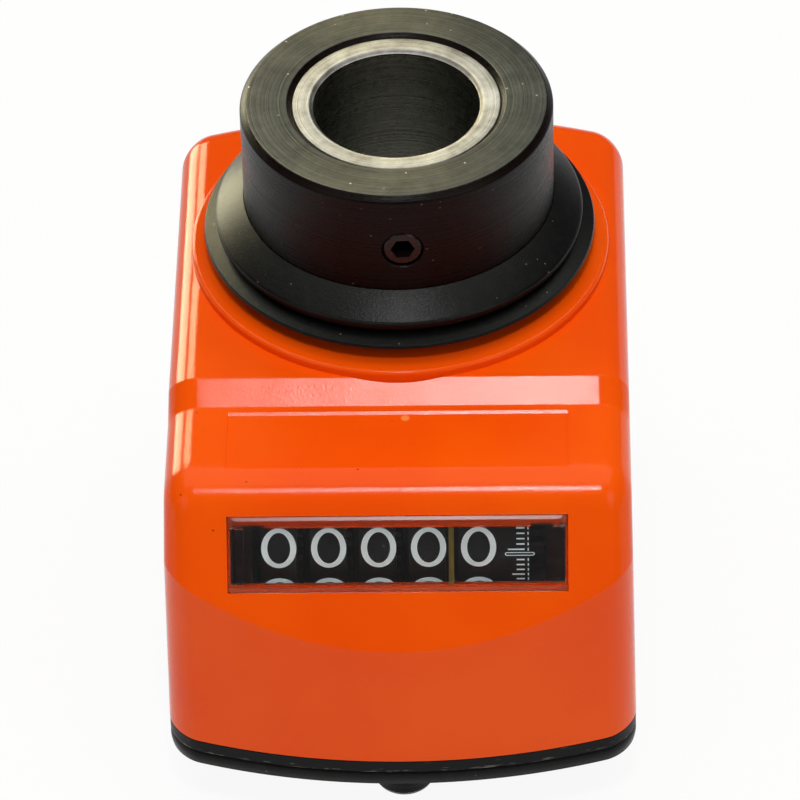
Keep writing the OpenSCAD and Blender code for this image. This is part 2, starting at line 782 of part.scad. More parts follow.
// Number wheel: digit band, carry gear towards +X and carry cam towards -X
module number_wheel(i) {
    reach_left = (i == 0) ? cheek_room - slip_gap : flange_t;
    reach_right = (i == last_wheel) ? scale_w + spur_w : flange_t;
    color("#18181a") along_x(wheel_x(i), wheel_mid) difference() {
        union() {
            translate([0, 0, -band_w / 2]) {
                cylinder(r = wheel_r, h = band_w + (i == last_wheel ? scale_w : 0));
            }
            translate([0, 0, -band_w / 2 - reach_left]) {
                if (i == 0) cylinder(r = wheel_hub_r, h = cheek_room);
                else linear_extrude(2 * flange_t) carry_cam();
            }
            if (i == last_wheel) {
                translate([0, 0, band_w / 2 + scale_w - flange_t]) linear_extrude(spur_w + flange_t) {
                    rotate(spur_turn + 180 + 180 / spur_teeth) spur_outline(spur_teeth, spur_m);
                }
            } else {
                translate([0, 0, band_w / 2 - flange_t]) linear_extrude(2 * flange_t) {
                    rotate(carry_turn) spur_outline(carry_teeth, carry_m);
                }
            }
        }
        translate([0, 0, -band_w / 2 - reach_left - past]) {
            cylinder(r = axle_r + run_gap, h = band_w + reach_left + reach_right + 2 * past);
        }
    }
}

// Cam that turns the next wheel: a locking disc with two teeth past the carry pinion
module carry_cam() {
    reach = carry_r - carry_m * tooth_tip - 2 * slip_gap;
    lock_r = reach - carry_m;
    tooth_w = 0.8;
    circle(lock_r);
    for (side = [-1, 1]) rotate(carry_turn + (1 + side / 2) * 360 / carry_teeth) {
        translate([0, -tooth_w / 2]) square([reach, tooth_w]);
    }
}

module ten_thousands_wheel() { number_wheel(0); }
module thousands_wheel() { number_wheel(1); }
module hundreds_wheel() { number_wheel(2); }
module tens_wheel() { number_wheel(3); }
module units_wheel() { number_wheel(4); }

// Carry pinion between two wheels: eight teeth at the carry gear, every other one at the cam
module carry_pinion(i) {
    gap_x = (wheel_x(i - 1) + wheel_x(i)) / 2;
    pinion_w = wheel_pitch - band_w - 2 * slip_gap;
    color("#efe9d8") along_x(gap_x - pinion_w / 2, pinion_mid) difference() {
        rotate(carry_turn + 180 + 180 / carry_pinion_teeth) {
            linear_extrude(pinion_w / 2) spur_outline(carry_pinion_teeth, carry_m);
            linear_extrude(pinion_w) intersection() {
                spur_outline(carry_pinion_teeth, carry_m);
                for (a = [0, 90]) rotate(a) {
                    square([4 * carry_pinion_r, 1.6 * carry_pinion_r * sin(180 / carry_pinion_teeth)],
                        center = true);
                }
            }
        }
        translate([0, 0, -past]) cylinder(r = pinion_axle_r + run_gap, h = pinion_w + 2 * past, $fn = 48);
    }
}

module carry_pinion_1() { carry_pinion(1); }
module carry_pinion_2() { carry_pinion(2); }
module carry_pinion_3() { carry_pinion(3); }
module carry_pinion_4() { carry_pinion(4); }

// Axle fixed in both cheeks of the counter frame, its ends chamfered
module fixed_axle(r, mid) {
    end = right_cheek - left_cheek + 2 * frame_t;
    along_x(left_cheek - frame_t, mid) rotate_extrude() polygon([
        [0, 0], [r - axle_chamfer, 0], [r, axle_chamfer], [r, end - axle_chamfer],
        [r - axle_chamfer, end], [0, end]
    ]);
}

module wheel_axle() { color("#b4b6b9") fixed_axle(axle_r, wheel_mid); }

module pinion_axle() { color("#b4b6b9") fixed_axle(pinion_axle_r, pinion_mid); }

// Cheek of the counter frame: arms from the wheels' axle to the other axles and the base plate
module cheek() {
    foot = [wheel_mid.x - arm_w / 2, plate_top - frame_t + arm_w / 2];
    for (end = [pinion_mid, cross_mid, foot]) bar(wheel_mid, end, arm_w);
    for (eye = [wheel_mid, pinion_mid, cross_mid]) translate(eye) circle(arm_w / 2 + eye_wall);
    translate([plate_front, plate_top - frame_t]) square([plate_back - plate_front, arm_w]);
}

module counter_frame() {
    color("#6f7276") difference() {
        union() {
            for (x = [left_cheek - frame_t, right_cheek]) along_x(x) linear_extrude(frame_t) cheek();
            translate([left_cheek - frame_t, plate_front, plate_top - frame_t]) {
                cube([right_cheek - left_cheek + 2 * frame_t, plate_back - plate_front, frame_t]);
            }
            translate([-ear_end, ear_y - ear_half, plate_top - frame_t]) {
                cube([2 * ear_end, 2 * ear_half, frame_t]);
            }
        }
        along_x(left_cheek - frame_t - past, wheel_mid) frame_bore(axle_r + fixed_gap);
        along_x(left_cheek - frame_t - past, pinion_mid) frame_bore(pinion_axle_r + fixed_gap);
        along_x(left_cheek - frame_t - past, cross_mid) frame_bore(cross_r + run_gap);
        for (x = [-post_x, post_x]) translate([x, ear_y, plate_top - frame_t - past]) {
            cylinder(r = frame_screw_r + slip_gap, h = frame_t + 2 * past, $fn = 48);
        }
    }
}

module frame_bore(r) { cylinder(r = r, h = right_cheek - left_cheek + 2 * frame_t + 2 * past); }

module frame_screws() {
    head_r = min(frame_screw_r + frame_head_wall, post_inset - slip_gap);
    head_h = frame_head_h;
    bottom = plate_top - frame_t;
    color("#9a9ca0") for (x = [-post_x, post_x]) translate([x, ear_y, bottom]) difference() {
        union() {
            cylinder(r = frame_screw_r, h = frame_t + frame_screw_l - slip_gap, $fn = 48);
            translate([0, 0, -head_h]) cylinder(r = head_r, h = head_h);
        }
        translate([-head_r - past, -screw_slot / 2, -head_h - past]) {
            cube([2 * (head_r + past), screw_slot, past + head_h / 2]);
        }
    }
}

housing();
back_cover();
rear_gasket();
window_lens();
decimal_bar();
locating_pin();
cover_screws();
hollow_shaft();
reducing_sleeve();
set_screw();
shaft_seal();
thrust_washer();
retaining_ring();
shaft_gear();
cross_shaft();
screw_pinion();
cross_gear();
ten_thousands_wheel();
thousands_wheel();
hundreds_wheel();
tens_wheel();
units_wheel();
carry_pinion_1();
carry_pinion_2();
carry_pinion_3();
carry_pinion_4();
wheel_axle();
pinion_axle();
counter_frame();
frame_screws();
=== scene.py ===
# %% [markdown]
# # A mechanical position indicator
#
# The object is a hand-sized counter for a machine spindle: an orange moulded
# housing, a sloping window with five number wheels, and a black steel collar
# that is clamped on the spindle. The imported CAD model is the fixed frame, in
# metres. The lesson builds smooth, finished surfaces around it, one piece at
# a time, and every new piece stays in the place of the solid that it stands for.

# %% Load the frame
import json

import bmesh
import bpy
import numpy as np
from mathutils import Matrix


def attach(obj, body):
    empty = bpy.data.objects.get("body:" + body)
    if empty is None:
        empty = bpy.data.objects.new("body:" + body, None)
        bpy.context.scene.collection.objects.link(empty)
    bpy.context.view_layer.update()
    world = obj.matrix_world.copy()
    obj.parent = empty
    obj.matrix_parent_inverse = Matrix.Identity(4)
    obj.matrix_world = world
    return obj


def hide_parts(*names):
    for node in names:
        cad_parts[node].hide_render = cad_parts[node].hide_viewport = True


MM = 0.001
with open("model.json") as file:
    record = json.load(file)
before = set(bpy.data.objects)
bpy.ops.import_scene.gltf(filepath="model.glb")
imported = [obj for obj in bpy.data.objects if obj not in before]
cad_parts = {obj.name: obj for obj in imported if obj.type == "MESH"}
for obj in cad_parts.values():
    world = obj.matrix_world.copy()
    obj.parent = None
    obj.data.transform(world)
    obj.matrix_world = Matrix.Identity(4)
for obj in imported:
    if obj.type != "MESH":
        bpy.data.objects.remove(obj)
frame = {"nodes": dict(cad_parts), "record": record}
nodes = frame["nodes"]
scene = bpy.context.scene
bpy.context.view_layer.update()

# %% [markdown]
# ## The camera
#
# The photograph was taken from the front and above with a long lens, so its
# upright edges stay almost parallel. A camera could be placed by eye, but here
# its place, its three angles and its focal length were solved from about forty
# points of the object whose sizes are known. The image is taken as 800 pixels
# wide.

# %% Place the camera
FOCAL_PX, IMAGE_PX, SENSOR = 5858.21, 800, 36
CAMERA_AT = np.array([12.71, -438.28, 399.43])
AZIMUTH, ELEVATION, ROLL = np.radians([1.72, 41.4, -1.63])
NEAR, FAR = 0.05, 20

backward = np.array([
    np.sin(AZIMUTH) * np.cos(ELEVATION),
    -np.cos(AZIMUTH) * np.cos(ELEVATION),
    np.sin(ELEVATION),
])
level = np.cross(-backward, [0, 0, 1])
level /= np.linalg.norm(level)
upright = np.cross(level, -backward)
roll = np.array([[np.cos(ROLL), np.sin(ROLL)], [-np.sin(ROLL), np.cos(ROLL)]])
placing = np.eye(4)
placing[:3, :3] = np.transpose([*(roll @ [level, upright]), backward])
placing[:3, 3] = CAMERA_AT * MM

optics = bpy.data.cameras.new("camera")
optics.sensor_fit, optics.sensor_width = "HORIZONTAL", SENSOR
optics.lens = FOCAL_PX / IMAGE_PX * SENSOR
optics.clip_start, optics.clip_end = NEAR, FAR
camera = bpy.data.objects.new("camera", optics)
camera.matrix_world = placing.T
scene.collection.objects.link(camera)
scene.camera = camera
print("focal length in mm:", round(optics.lens, 1))

# %% [markdown]
# ## Colours and nodes
#
# Every colour is written as the hex value that a picture shows, and one
# function turns it to the linear light that the renderer works in. One small
# function adds a shader node with its settings and links. Patterns read Object
# coordinates in millimetres, so that a noise of scale 2 has lumps of half a
# millimetre on every piece. Sockets are named, or numbered from the top where
# that is shorter: a Map Range node takes its value at 0, the range it comes in
# at 1 and 2, and the range it goes out to at 3 and 4.

# %% Colour and node helpers
def linear(code):
    """sRGB hex to linear RGBA: small values are divided by 12.92, the rest follow a power of 2.4."""
    srgb = np.array([int(code[i:i + 2], 16) for i in (1, 3, 5)]) / 255
    return (*np.where(srgb <= 0.04045, srgb / 12.92, ((srgb + 0.055) / 1.055) ** 2.4), 1.0)


def add(tree, kind, sockets=None, stops=(), **settings):
    """Adds a node. Settings go on the node itself. A socket is linked if it is given a node, whose first
    output is meant, or an output; otherwise it gets the value. Stops are a ramp's places and hex colours."""
    node = tree.nodes.new("ShaderNode" + kind)
    for name, value in settings.items():
        setattr(node, name, value)
    for key, value in (sockets or {}).items():
        if isinstance(value, bpy.types.Node):
            value = value.outputs[0]
        if isinstance(value, bpy.types.NodeSocket):
            tree.links.new(value, node.inputs[key])
        else:
            node.inputs[key].default_value = value
    for at, _ in stops[1:-1]:
        node.color_ramp.elements.new(at)
    for stop, (at, code) in zip(node.color_ramp.elements if stops else (), stops):
        stop.position, stop.color = at, linear(code)
    return node


def start_material(name):
    """An empty node tree and the surface's own place in millimetres."""
    material = bpy.data.materials.new(name)
    material.use_nodes = True
    tree = material.node_tree
    tree.nodes.clear()
    place = add(tree, "TexCoord").outputs["Object"]
    return material, tree, add(tree, "VectorMath", {0: place, "Scale": 1 / MM}, operation="SCALE")


print("mid grey as linear light:", np.round(linear("#808080"), 3).tolist())

# %% [markdown]
# ## Orange housing plastic
#
# The housing is ABS, injection-moulded in a polished tool. That gives the eye
# a saturated colour under a clear gloss, faint waves where the skin shrank over
# the ribs, and a very fine orange peel that breaks a bright reflection into
# specks. The plastic ran in at the middle of the label panel, which left a
# small round gate mark with a painted highlight on it as a pale spot, and a
# few specks of dirt lie on the skin. A
# photograph of moulded plastic could be laid on it, but noise at those sizes
# does the same and has no seams. A speck's size is a share of its Voronoi cell.

# %% Moulded orange ABS
PEEL_MM, WAVE_MM, CLOUD_MM, DIRT_MM = 0.22, 6.0, 14.0, 4.0
WAVE_HIGH, FINE_HIGH = 1.0 * MM, 0.1 * MM
GATE_AT, GATE_CORE, GATE_R, GATE_HIGHLIGHT = (0.7, -23.6, 31.4), 0.3, 0.5, 0.55
DIRT_CORE, DIRT_R, DIRT_DARK = 0.018, 0.034, 0.75

orange_abs, tree, mm = start_material("orange_abs_moulded_gloss")
peel = add(tree, "TexNoise", {"Vector": mm, "Scale": 1 / PEEL_MM, "Detail": 2.0})
waves = add(tree, "TexNoise", {"Vector": mm, "Scale": 1 / WAVE_MM, "Detail": 1.0})
cloud = add(tree, "TexNoise", {"Vector": mm, "Scale": 1 / CLOUD_MM, "Detail": 2.0})
wavy = add(tree, "Bump", {"Height": waves, "Strength": 0.05, "Distance": WAVE_HIGH})
peeled = add(tree, "Bump", {"Height": peel, "Strength": 0.11, "Distance": FINE_HIGH, "Normal": wavy})
colour = add(tree, "ValToRGB", {0: cloud}, stops=[(0.35, "#F44F05"), (0.65, "#F85706")])
# The gate mark's pale spot is a painted highlight on the gate's small bump.
gate_highlight = add(tree, "VectorMath", {0: mm, 1: GATE_AT}, operation="DISTANCE").outputs["Value"]
gate_highlight = add(tree, "MapRange", {0: gate_highlight, 1: GATE_CORE, 2: GATE_R, 3: GATE_HIGHLIGHT, 4: 0.0})
colour = add(tree, "MixRGB", {0: gate_highlight, 1: colour, 2: linear("#FFA458")})
dirt = add(tree, "TexVoronoi", {"Vector": mm, "Scale": 1 / DIRT_MM})
dirt = add(tree, "MapRange", {0: dirt, 1: DIRT_CORE, 2: DIRT_R, 3: DIRT_DARK, 4: 0.0})
colour = add(tree, "MixRGB", {0: dirt, 1: colour, 2: linear("#5A2008")})
gloss = add(tree, "MapRange", {0: peel, 3: 0.11, 4: 0.17})
shader = add(tree, "BsdfPrincipled", {
    "Base Color": colour, "Roughness": gloss, "IOR": 1.53, "Specular IOR Level": 0.12, "Normal": peeled,
})
add(tree, "OutputMaterial", {"Surface": shader})
print("material:", orange_abs.name)

# %% [markdown]
# ## Meshes from grids
#
# Every new piece is a grid of points worked out with numpy. One helper numbers
# the quads of a grid, one makes the mesh object with its faces turned outwards,
# and one keeps the edges crisp that bend by more than a stated angle, which
# smooth shading alone would lose.

# %% Mesh helpers
CRISP = 28


def grid_faces(rows, columns, wrap_rows=False, wrap_columns=False):
    """Quads between the neighbouring lines of a grid. A wrapped side joins its last line to its first."""
    i = np.arange(rows - (not wrap_rows))[:, None]
    j = np.arange(columns - (not wrap_columns))[None, :]
    here, below, beside = i * columns, (i + 1) % rows * columns, (j + 1) % columns
    corners = np.broadcast_arrays(here + j, here + beside, below + beside, below + j)
    return np.stack(corners, -1).reshape(-1, 4).tolist()


def keep_crisp(piece, angle):
    """Smooth shading, with edges that bend by more than the angle in degrees left sharp."""
    piece.data.shade_smooth()
    piece.data.set_sharp_from_angle(angle=np.radians(angle))


def make_piece(name, points, faces, material, angle=CRISP):
    """A closed mesh object from points in mm, its faces turned outwards."""
    mesh = bpy.data.meshes.new(name)
    mesh.from_pydata((np.reshape(points, (-1, 3)) * MM).tolist(), [], faces)
    shell = bmesh.new()
    shell.from_mesh(mesh)
    bmesh.ops.recalc_face_normals(shell, faces=shell.faces)
    shell.to_mesh(mesh)
    shell.free()
    mesh.materials.append(material)
    piece = bpy.data.objects.new(name, mesh)
    scene.collection.objects.link(piece)
    keep_crisp(piece, angle)
    return piece


print("edges are crisp above", CRISP, "degrees")

# %% [markdown]
# ## The housing's skin
#
# Seen from the side, the housing is one line: up the front wall, back along the
# sloping window face, round the lip, over the label panel, up a bevelled step,
# along the top and down the back. Seen from above, its ends are bowed. The skin
# carries that side view across the width. Towards each side the line shrinks
# inwards along a quarter circle, which gives all the side edges one round edge
# that runs on round the lip and down the corners, as a moulded part has. A box
# with a Bevel modifier would leave a knot where those edges meet.

# %% Lines with rounded corners
def arc_between(corner, behind, ahead, radius, share):
    """Arc that touches both sides of a corner, given the unit directions along them. Its centre lies on their
    bisector, and its points blend the two touching points by the sines of the arc's share."""
    half = np.arccos(np.clip((ahead * behind).sum(-1, keepdims=True), -1, 1)) / 2
    bisector = (ahead + behind) / np.linalg.norm(ahead + behind, axis=-1, keepdims=True)
    middle = corner + bisector * radius / np.sin(half)
    first, last = (corner + side * radius / np.tan(half) for side in (behind, ahead))
    swing = np.pi - 2 * half
    blend = np.sin((1 - share) * swing) * (first - middle) + np.sin(share * swing) * (last - middle)
    return middle + blend / np.sin(swing), first, last


def rounded_line(corners, radii, straight, turn=8):
    """Open line through the corners with an arc at each inner corner. corners is (corner, column, 2) and
    radii (inner corner, column). straight gives the steps along each side, and turn those round an arc."""
    runs = np.diff(corners, axis=0)
    runs /= np.linalg.norm(runs, axis=2, keepdims=True)
    rows, start = [], corners[0]
    share = np.linspace(0, 1, turn, endpoint=False)[:, None, None]
    for k, steps in enumerate(straight[:-1]):
        arc, first, last = arc_between(corners[k + 1], -runs[k], runs[k + 1], radii[k][:, None], share)
        rows += [start + np.linspace(0, 1, steps, endpoint=False)[:, None, None] * (first - start), arc]
        start = last
    rows.append(start + np.linspace(0, 1, straight[-1] + 1)[:, None, None] * (corners[-1] - start))
    return np.concatenate(rows)


sides = np.eye(2)
quarter, _, _ = arc_between(np.zeros(2), sides[0], sides[1], 1.0, np.array([[0.5]]))
print("middle of a quarter arc of radius 1:", np.round(quarter[0], 3).tolist())

# %% Plan and side view of the housing
BASE_Z, FOOT_Z, PANEL_Z, TOP_Z = 3.3, 17.7, 31.6, 33.3
HALF_W, FRONT, BACK, END_R = 22.5, 41.4, 22.0, 65.0
STEP_REACH, STEP_RUN, EDGE_R, LIP_R = 19.8, 2.35, 3.0, 4.5
FOOT_R, STEP_FOOT_R, STEP_TOP_R, LEAST_R = 0.5, 0.25, 0.35, 0.05
SIDE_STEPS = [10, 10, 8, 2, 18, 10]
STEP_SLOPE = np.arctan2(TOP_Z - PANEL_Z, STEP_RUN)
TILT, DRAFT = np.radians([31.3, 1.1])
face_up = np.array([0, np.sin(TILT), np.cos(TILT)])
face_in = np.array([0, np.cos(TILT), -np.sin(TILT)])


def across(half, edge, flat=41, turn=16):
    """Places across the width and how far the outline shrinks there: x = half - edge + edge sin a and
    edge (1 - cos a) along the two quarter circles, and no shrinking between them."""
    a = np.linspace(0, np.pi / 2, turn + 1)[1:]
    x = half - edge + edge * np.sin(a)
    middle = np.linspace(edge - half, half - edge, flat)
    shrink = edge * (1 - np.cos(a))
    return np.concatenate([-x[::-1], middle, x]), np.concatenate([shrink[::-1], 0 * middle, shrink])


def bow(x, end_r):
    """Height of a circle's arc above its lowest point."""
    return end_r - np.sqrt(end_r ** 2 - x ** 2)


print("step's slope in degrees:", round(float(np.degrees(STEP_SLOPE)), 1))

# %% Skin of the housing
SKIN_CRISP = 20


def housing_skin(half, front, back, end_r, edge, lip, inset, window_inset, base, draft):
    """Closed skin: for each place across the width, the side view moved inwards by inset plus that place's
    shrinking. The window face and the step's bevel are tilted planes, and the ends follow the bow."""
    x, d = across(half, edge)
    sag, top, panel = bow(x, end_r), TOP_Z - inset - d, PANEL_Z - inset - d
    front_y, back_y = sag + d - front, back - sag - d
    foot_y = -FRONT + (window_inset + d) * face_in[1]
    foot_z = FOOT_Z + (window_inset + d) * face_in[2]
    bevel_y = (inset + d) / np.sin(STEP_SLOPE) - STEP_REACH
    corners = np.stack([
        np.stack([front_y, base + 0 * x], -1),
        np.stack([front_y, foot_z + (front_y - foot_y) / np.tan(TILT)], -1),
        np.stack([foot_y + (panel - foot_z) * np.tan(TILT), panel], -1),
        np.stack([bevel_y + (panel - TOP_Z) / np.tan(STEP_SLOPE), panel], -1),
        np.stack([bevel_y + (top - TOP_Z) / np.tan(STEP_SLOPE), top], -1),
        np.stack([back_y, top], -1),
        np.stack([back_y, base + 0 * x], -1),
    ])
    radii = [np.maximum(FOOT_R - d, LEAST_R), lip - d, STEP_FOOT_R + d, np.maximum(STEP_TOP_R - d, LEAST_R),
             edge + LEAST_R - d]
    side_view = rounded_line(corners, radii, SIDE_STEPS)
    wide = x * (1 - np.tan(draft) * (side_view[..., 1] - BASE_Z) / half)
    points = np.concatenate([wide[..., None], side_view], -1)
    rows, columns = side_view.shape[:2]
    numbers = np.arange(rows * columns).reshape(rows, columns)
    caps = [numbers[:, 0], numbers[:, -1], np.concatenate([numbers[0], numbers[-1][::-1]])]
    return points, grid_faces(rows, columns) + [cap.tolist() for cap in caps]


skin = housing_skin(HALF_W, FRONT, BACK, END_R, EDGE_R, LIP_R, 0, 0, BASE_Z, DRAFT)
housing = make_piece("housing_shell", *skin, orange_abs, SKIN_CRISP)
print("housing skin:", len(housing.data.polygons), "faces")

# %% [markdown]
# ## Room, boss, bore and recesses
#
# The real shell is hollow, with a raised round boss under the seal, a bore for
# the shaft, a pocket for the lens and a shallow recess for a label, whose rear
# wall leans like the step behind it. The same skin function, drawn one wall
# further in, is the room inside. Booleans join and cut these shapes, because
# their edges are crisp on the real part too. A Boolean can leave faces without
# area, so its result is mended before it is kept.

# %% Turned solids and stacked loops
ROUND_STEPS = 192


def round_corners(outline, radius, steps=6):
    """Each corner of a closed outline becomes an arc that touches its two sides."""
    outline = np.asarray(outline, float)
    radius = np.broadcast_to(radius, len(outline))[:, None]
    ahead, behind = np.roll(outline, -1, 0) - outline, np.roll(outline, 1, 0) - outline
    ahead /= np.linalg.norm(ahead, axis=1, keepdims=True)
    behind /= np.linalg.norm(behind, axis=1, keepdims=True)
    share = np.linspace(0, 1, steps + 1)[:, None, None]
    arcs, _, _ = arc_between(outline, behind, ahead, radius, share)
    return np.moveaxis(arcs, 0, 1).reshape(-1, 2)


def lathe(profile, steps=ROUND_STEPS):
    """Carries a closed (r, z) profile round the Z axis: x = r cos a, y = r sin a."""
    r, z = np.transpose(profile)[:, :, None]
    a = np.linspace(0, 2 * np.pi, steps, endpoint=False)
    points = np.stack([r * np.cos(a), r * np.sin(a), z + 0 * a], -1)
    return points, grid_faces(len(profile), steps, True, True)


def stack(loops):
    """Joins closed loops of equal length, one above the other, and closes both ends with a flat cap."""
    rows, columns = len(loops), len(loops[0])
    caps = [list(range(columns)), list(range((rows - 1) * columns, rows * columns))]
    return np.array(loops), grid_faces(rows, columns, wrap_columns=True) + caps


def rod(radii, heights, steps=96, at=(0, 0)):
    """Loops of a turned solid about an upright line: one circle for each radius and height."""
    a = np.linspace(0, 2 * np.pi, steps, endpoint=False)
    r, z = np.array(radii)[:, None], np.array(heights)[:, None]
    return np.stack([at[0] + r * np.cos(a), at[1] + r * np.sin(a), z + 0 * a], -1)


print("points on a rounded square:", len(round_corners([[0, 0], [1, 0], [1, 1], [0, 1]], 0.2)))

# %% Blocks on the window and on the label panel
LENS_W, LENS_H, LENS_T, LENS_DROP = 32.0, 7.4, 1.8, 6.8
LEDGE_END, LEDGE_TOP, LEDGE_LOW, CLIP_W, CLIP_RISE = 0.5, 1.4, 0.55, 3.0, 0.3
OPEN_HALF, OPEN_LOW, OPEN_HIGH = LENS_W / 2 - LEDGE_END, LEDGE_LOW - LENS_H / 2, LENS_H / 2 - LEDGE_TOP
lens_mid = np.array([0, -FRONT + (PANEL_Z - FOOT_Z) * np.tan(TILT), PANEL_Z]) - LENS_DROP * face_up
LABEL_W, LABEL_L, LABEL_GAP, LABEL_DEPTH = 32.2, 7.9, 0.7, 0.2
label_y = -STEP_REACH - STEP_RUN - LABEL_GAP
CUBE = [[0, 1, 3, 2], [4, 6, 7, 5], [0, 4, 5, 1], [2, 3, 7, 6], [0, 2, 6, 4], [1, 5, 7, 3]]


def on_window(x, up, depth):
    """Points on the window: x along it, up its slope, and depth in from its face."""
    x, up, depth = np.broadcast_arrays(*(np.asarray(value, float)[..., None] for value in (x, up, depth)))
    return lens_mid + x * np.array([1, 0, 0]) + up * face_up + depth * face_in


def on_label(x, y, z):
    """Points on the label panel, measured from the recess's rear edge. The wall there leans like the step:
    y = z / tan(slope)."""
    return np.stack([x, label_y + np.where(y < 0, y, z / np.tan(STEP_SLOPE)), PANEL_Z + z], -1)


def block(place, low, high):
    """A block between two corners, its eight points sent through a placing function."""
    x, y, z = (axis.ravel() for axis in np.meshgrid(*zip(low, high), indexing="ij"))
    return place(x, y, z), CUBE


print("window's middle in mm:", np.round(lens_mid, 2).tolist())

# %% Cuts and handing over
NO_SIZE = 1e-7


def mend(mesh):
    """Splits many-sided faces into triangles and takes out those without area, which Booleans can leave."""
    shell = bmesh.new()
    shell.from_mesh(mesh)
    bmesh.ops.triangulate(shell, faces=[face for face in shell.faces if len(face.verts) > 4])
    bmesh.ops.dissolve_degenerate(shell, dist=NO_SIZE, edges=shell.edges)
    shell.to_mesh(mesh)
    shell.free()


def cut(piece, *tools, operation="DIFFERENCE", angle=CRISP):
    """Takes the tools away from the piece, or joins them to it, with exact Booleans. Keeps the mended result
    as the piece's mesh."""
    for tool in tools:
        step = piece.modifiers.new("cut", "BOOLEAN")
        step.operation, step.solver, step.object = operation, "EXACT", tool
    bpy.context.view_layer.update()
    whole = bpy.data.meshes.new_from_object(piece.evaluated_get(bpy.context.evaluated_depsgraph_get()))
    piece.modifiers.clear()
    mend(whole)
    piece.data = whole
    for tool in tools:
        bpy.data.objects.remove(tool)
    keep_crisp(piece, angle)


def cutter(points, faces):
    """A shape that is used up by a cut."""
    return make_piece("cutter", points, faces, orange_abs)


def hand_over(piece, body, slot, *stands_for):
    """Lets a piece ride on a body and hides the nodes that it stands for. Its slot is not used."""
    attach(piece, body)
    if stands_for:
        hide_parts(*stands_for)
    print(piece.name, "rides on", body + ":", len(piece.data.polygons), "faces")


print("lengths below", NO_SIZE, "m count as none")

# %% Hollow the housing and cut its openings
WALL, WINDOW_WALL, BOSS_R, BOSS_TOP, BOSS_EDGE, BEARING_R = 2.2, 3.0, 20.3, 34.2, 0.4, 11.55
INNER_HALF, INNER_EDGE, INNER_LIP = 19.72, 0.8, 0.9
BOSS_IN, SMALL_R, PAST = 0.5 + BEARING_R, 0.1, 2.0
boss_low = TOP_Z - WALL / 2

boss = round_corners([[BOSS_IN, boss_low], [BOSS_R, boss_low], [BOSS_R, BOSS_TOP], [BOSS_IN, BOSS_TOP]],
                     [SMALL_R, SMALL_R, BOSS_EDGE, SMALL_R])
room = housing_skin(INNER_HALF, FRONT - WALL, BACK - WALL, END_R - WALL, INNER_EDGE, INNER_LIP, WALL,
                    WINDOW_WALL, BASE_Z - PAST / 2, 0)
bore = stack(rod([BEARING_R, BEARING_R], [BOSS_TOP / 2, BOSS_TOP + PAST], ROUND_STEPS))
pocket = block(on_window, (-LENS_W / 2, -LENS_H / 2, -PAST), (LENS_W / 2, LENS_H / 2, LENS_T))
through = LENS_T / 2, 2 * WINDOW_WALL
opening = block(on_window, (-OPEN_HALF, OPEN_LOW, through[0]), (OPEN_HALF, OPEN_HIGH, through[1]))
clip_holes = [block(on_window, (x, OPEN_LOW, through[0]), (x + CLIP_W, OPEN_HIGH + CLIP_RISE, through[1]))
              for x in (-OPEN_HALF, OPEN_HALF - CLIP_W)]
label = block(on_label, (-LABEL_W / 2, -LABEL_L, -LABEL_DEPTH), (LABEL_W / 2, 0, PAST / 2))

cut(housing, cutter(*lathe(boss)), operation="UNION", angle=SKIN_CRISP)
shapes = room, bore, pocket, opening, *clip_holes, label
cut(housing, *[cutter(*shape) for shape in shapes], angle=SKIN_CRISP)
even = housing.modifiers.new("flat faces keep their shade", "WEIGHTED_NORMAL")
even.keep_sharp = True
hand_over(housing, "housing", "orange_plastic", "housing")

# %% [markdown]
# ## Black plastic and rubber
#
# The back cover is the same plastic in black, with a satin skin that is scuffed
# pale along its rim, most of all at the lower edge. The gasket and the seal are
# nitrile rubber: dull, slightly grey where handling has rubbed them, with pale
# dust that sits in the pores. The scuffs are a noise drawn out along the rim
# and raised towards the lower edge. The dust is the middles of Voronoi cells,
# larger than real dust so that it shows in the picture.

# %% Black ABS and nitrile rubber
SCUFF_MM, SCUFF_THIN_MM, GRAIN_MM, RUB_MM, DUST_MM = 1.6, 0.2, 0.25, 1.1, 1.4
COVER_Z, WORN_MM, WORN = 1.8, 0.6, 0.18
DUST_CORE, DUST_R, DUST_PALE = 0.035, 0.075, 0.5

black_abs, tree, mm = start_material("black_abs_moulded_satin")
grain = add(tree, "TexNoise", {"Vector": mm, "Scale": 1 / GRAIN_MM, "Detail": 3.0})
pressed = add(tree, "Bump", {"Height": grain, "Strength": 0.15, "Distance": FINE_HIGH})
drawn = add(tree, "Mapping", {"Vector": mm, "Scale": (1 / SCUFF_MM, 1 / SCUFF_MM, 1 / SCUFF_THIN_MM)})
scuffs = add(tree, "TexNoise", {"Vector": drawn, "Scale": 1.0, "Detail": 4.0, "Roughness": 0.6})
height = add(tree, "SeparateXYZ", {0: mm}).outputs[2]
rim = add(tree, "MapRange", {0: height, 1: COVER_Z, 2: COVER_Z + WORN_MM, 3: WORN, 4: 0.0})
scuffs = add(tree, "Math", {0: scuffs, 1: rim}, operation="ADD")
colour = add(tree, "ValToRGB", {0: scuffs}, stops=[(0.35, "#080809"), (0.66, "#0E0E10"), (0.76, "#6A645A")])
satin = add(tree, "MapRange", {0: grain, 3: 0.32, 4: 0.5})
shader = add(tree, "BsdfPrincipled", {
    "Base Color": colour, "Roughness": satin, "IOR": 1.53, "Specular IOR Level": 0.1, "Normal": pressed,
})
add(tree, "OutputMaterial", {"Surface": shader})

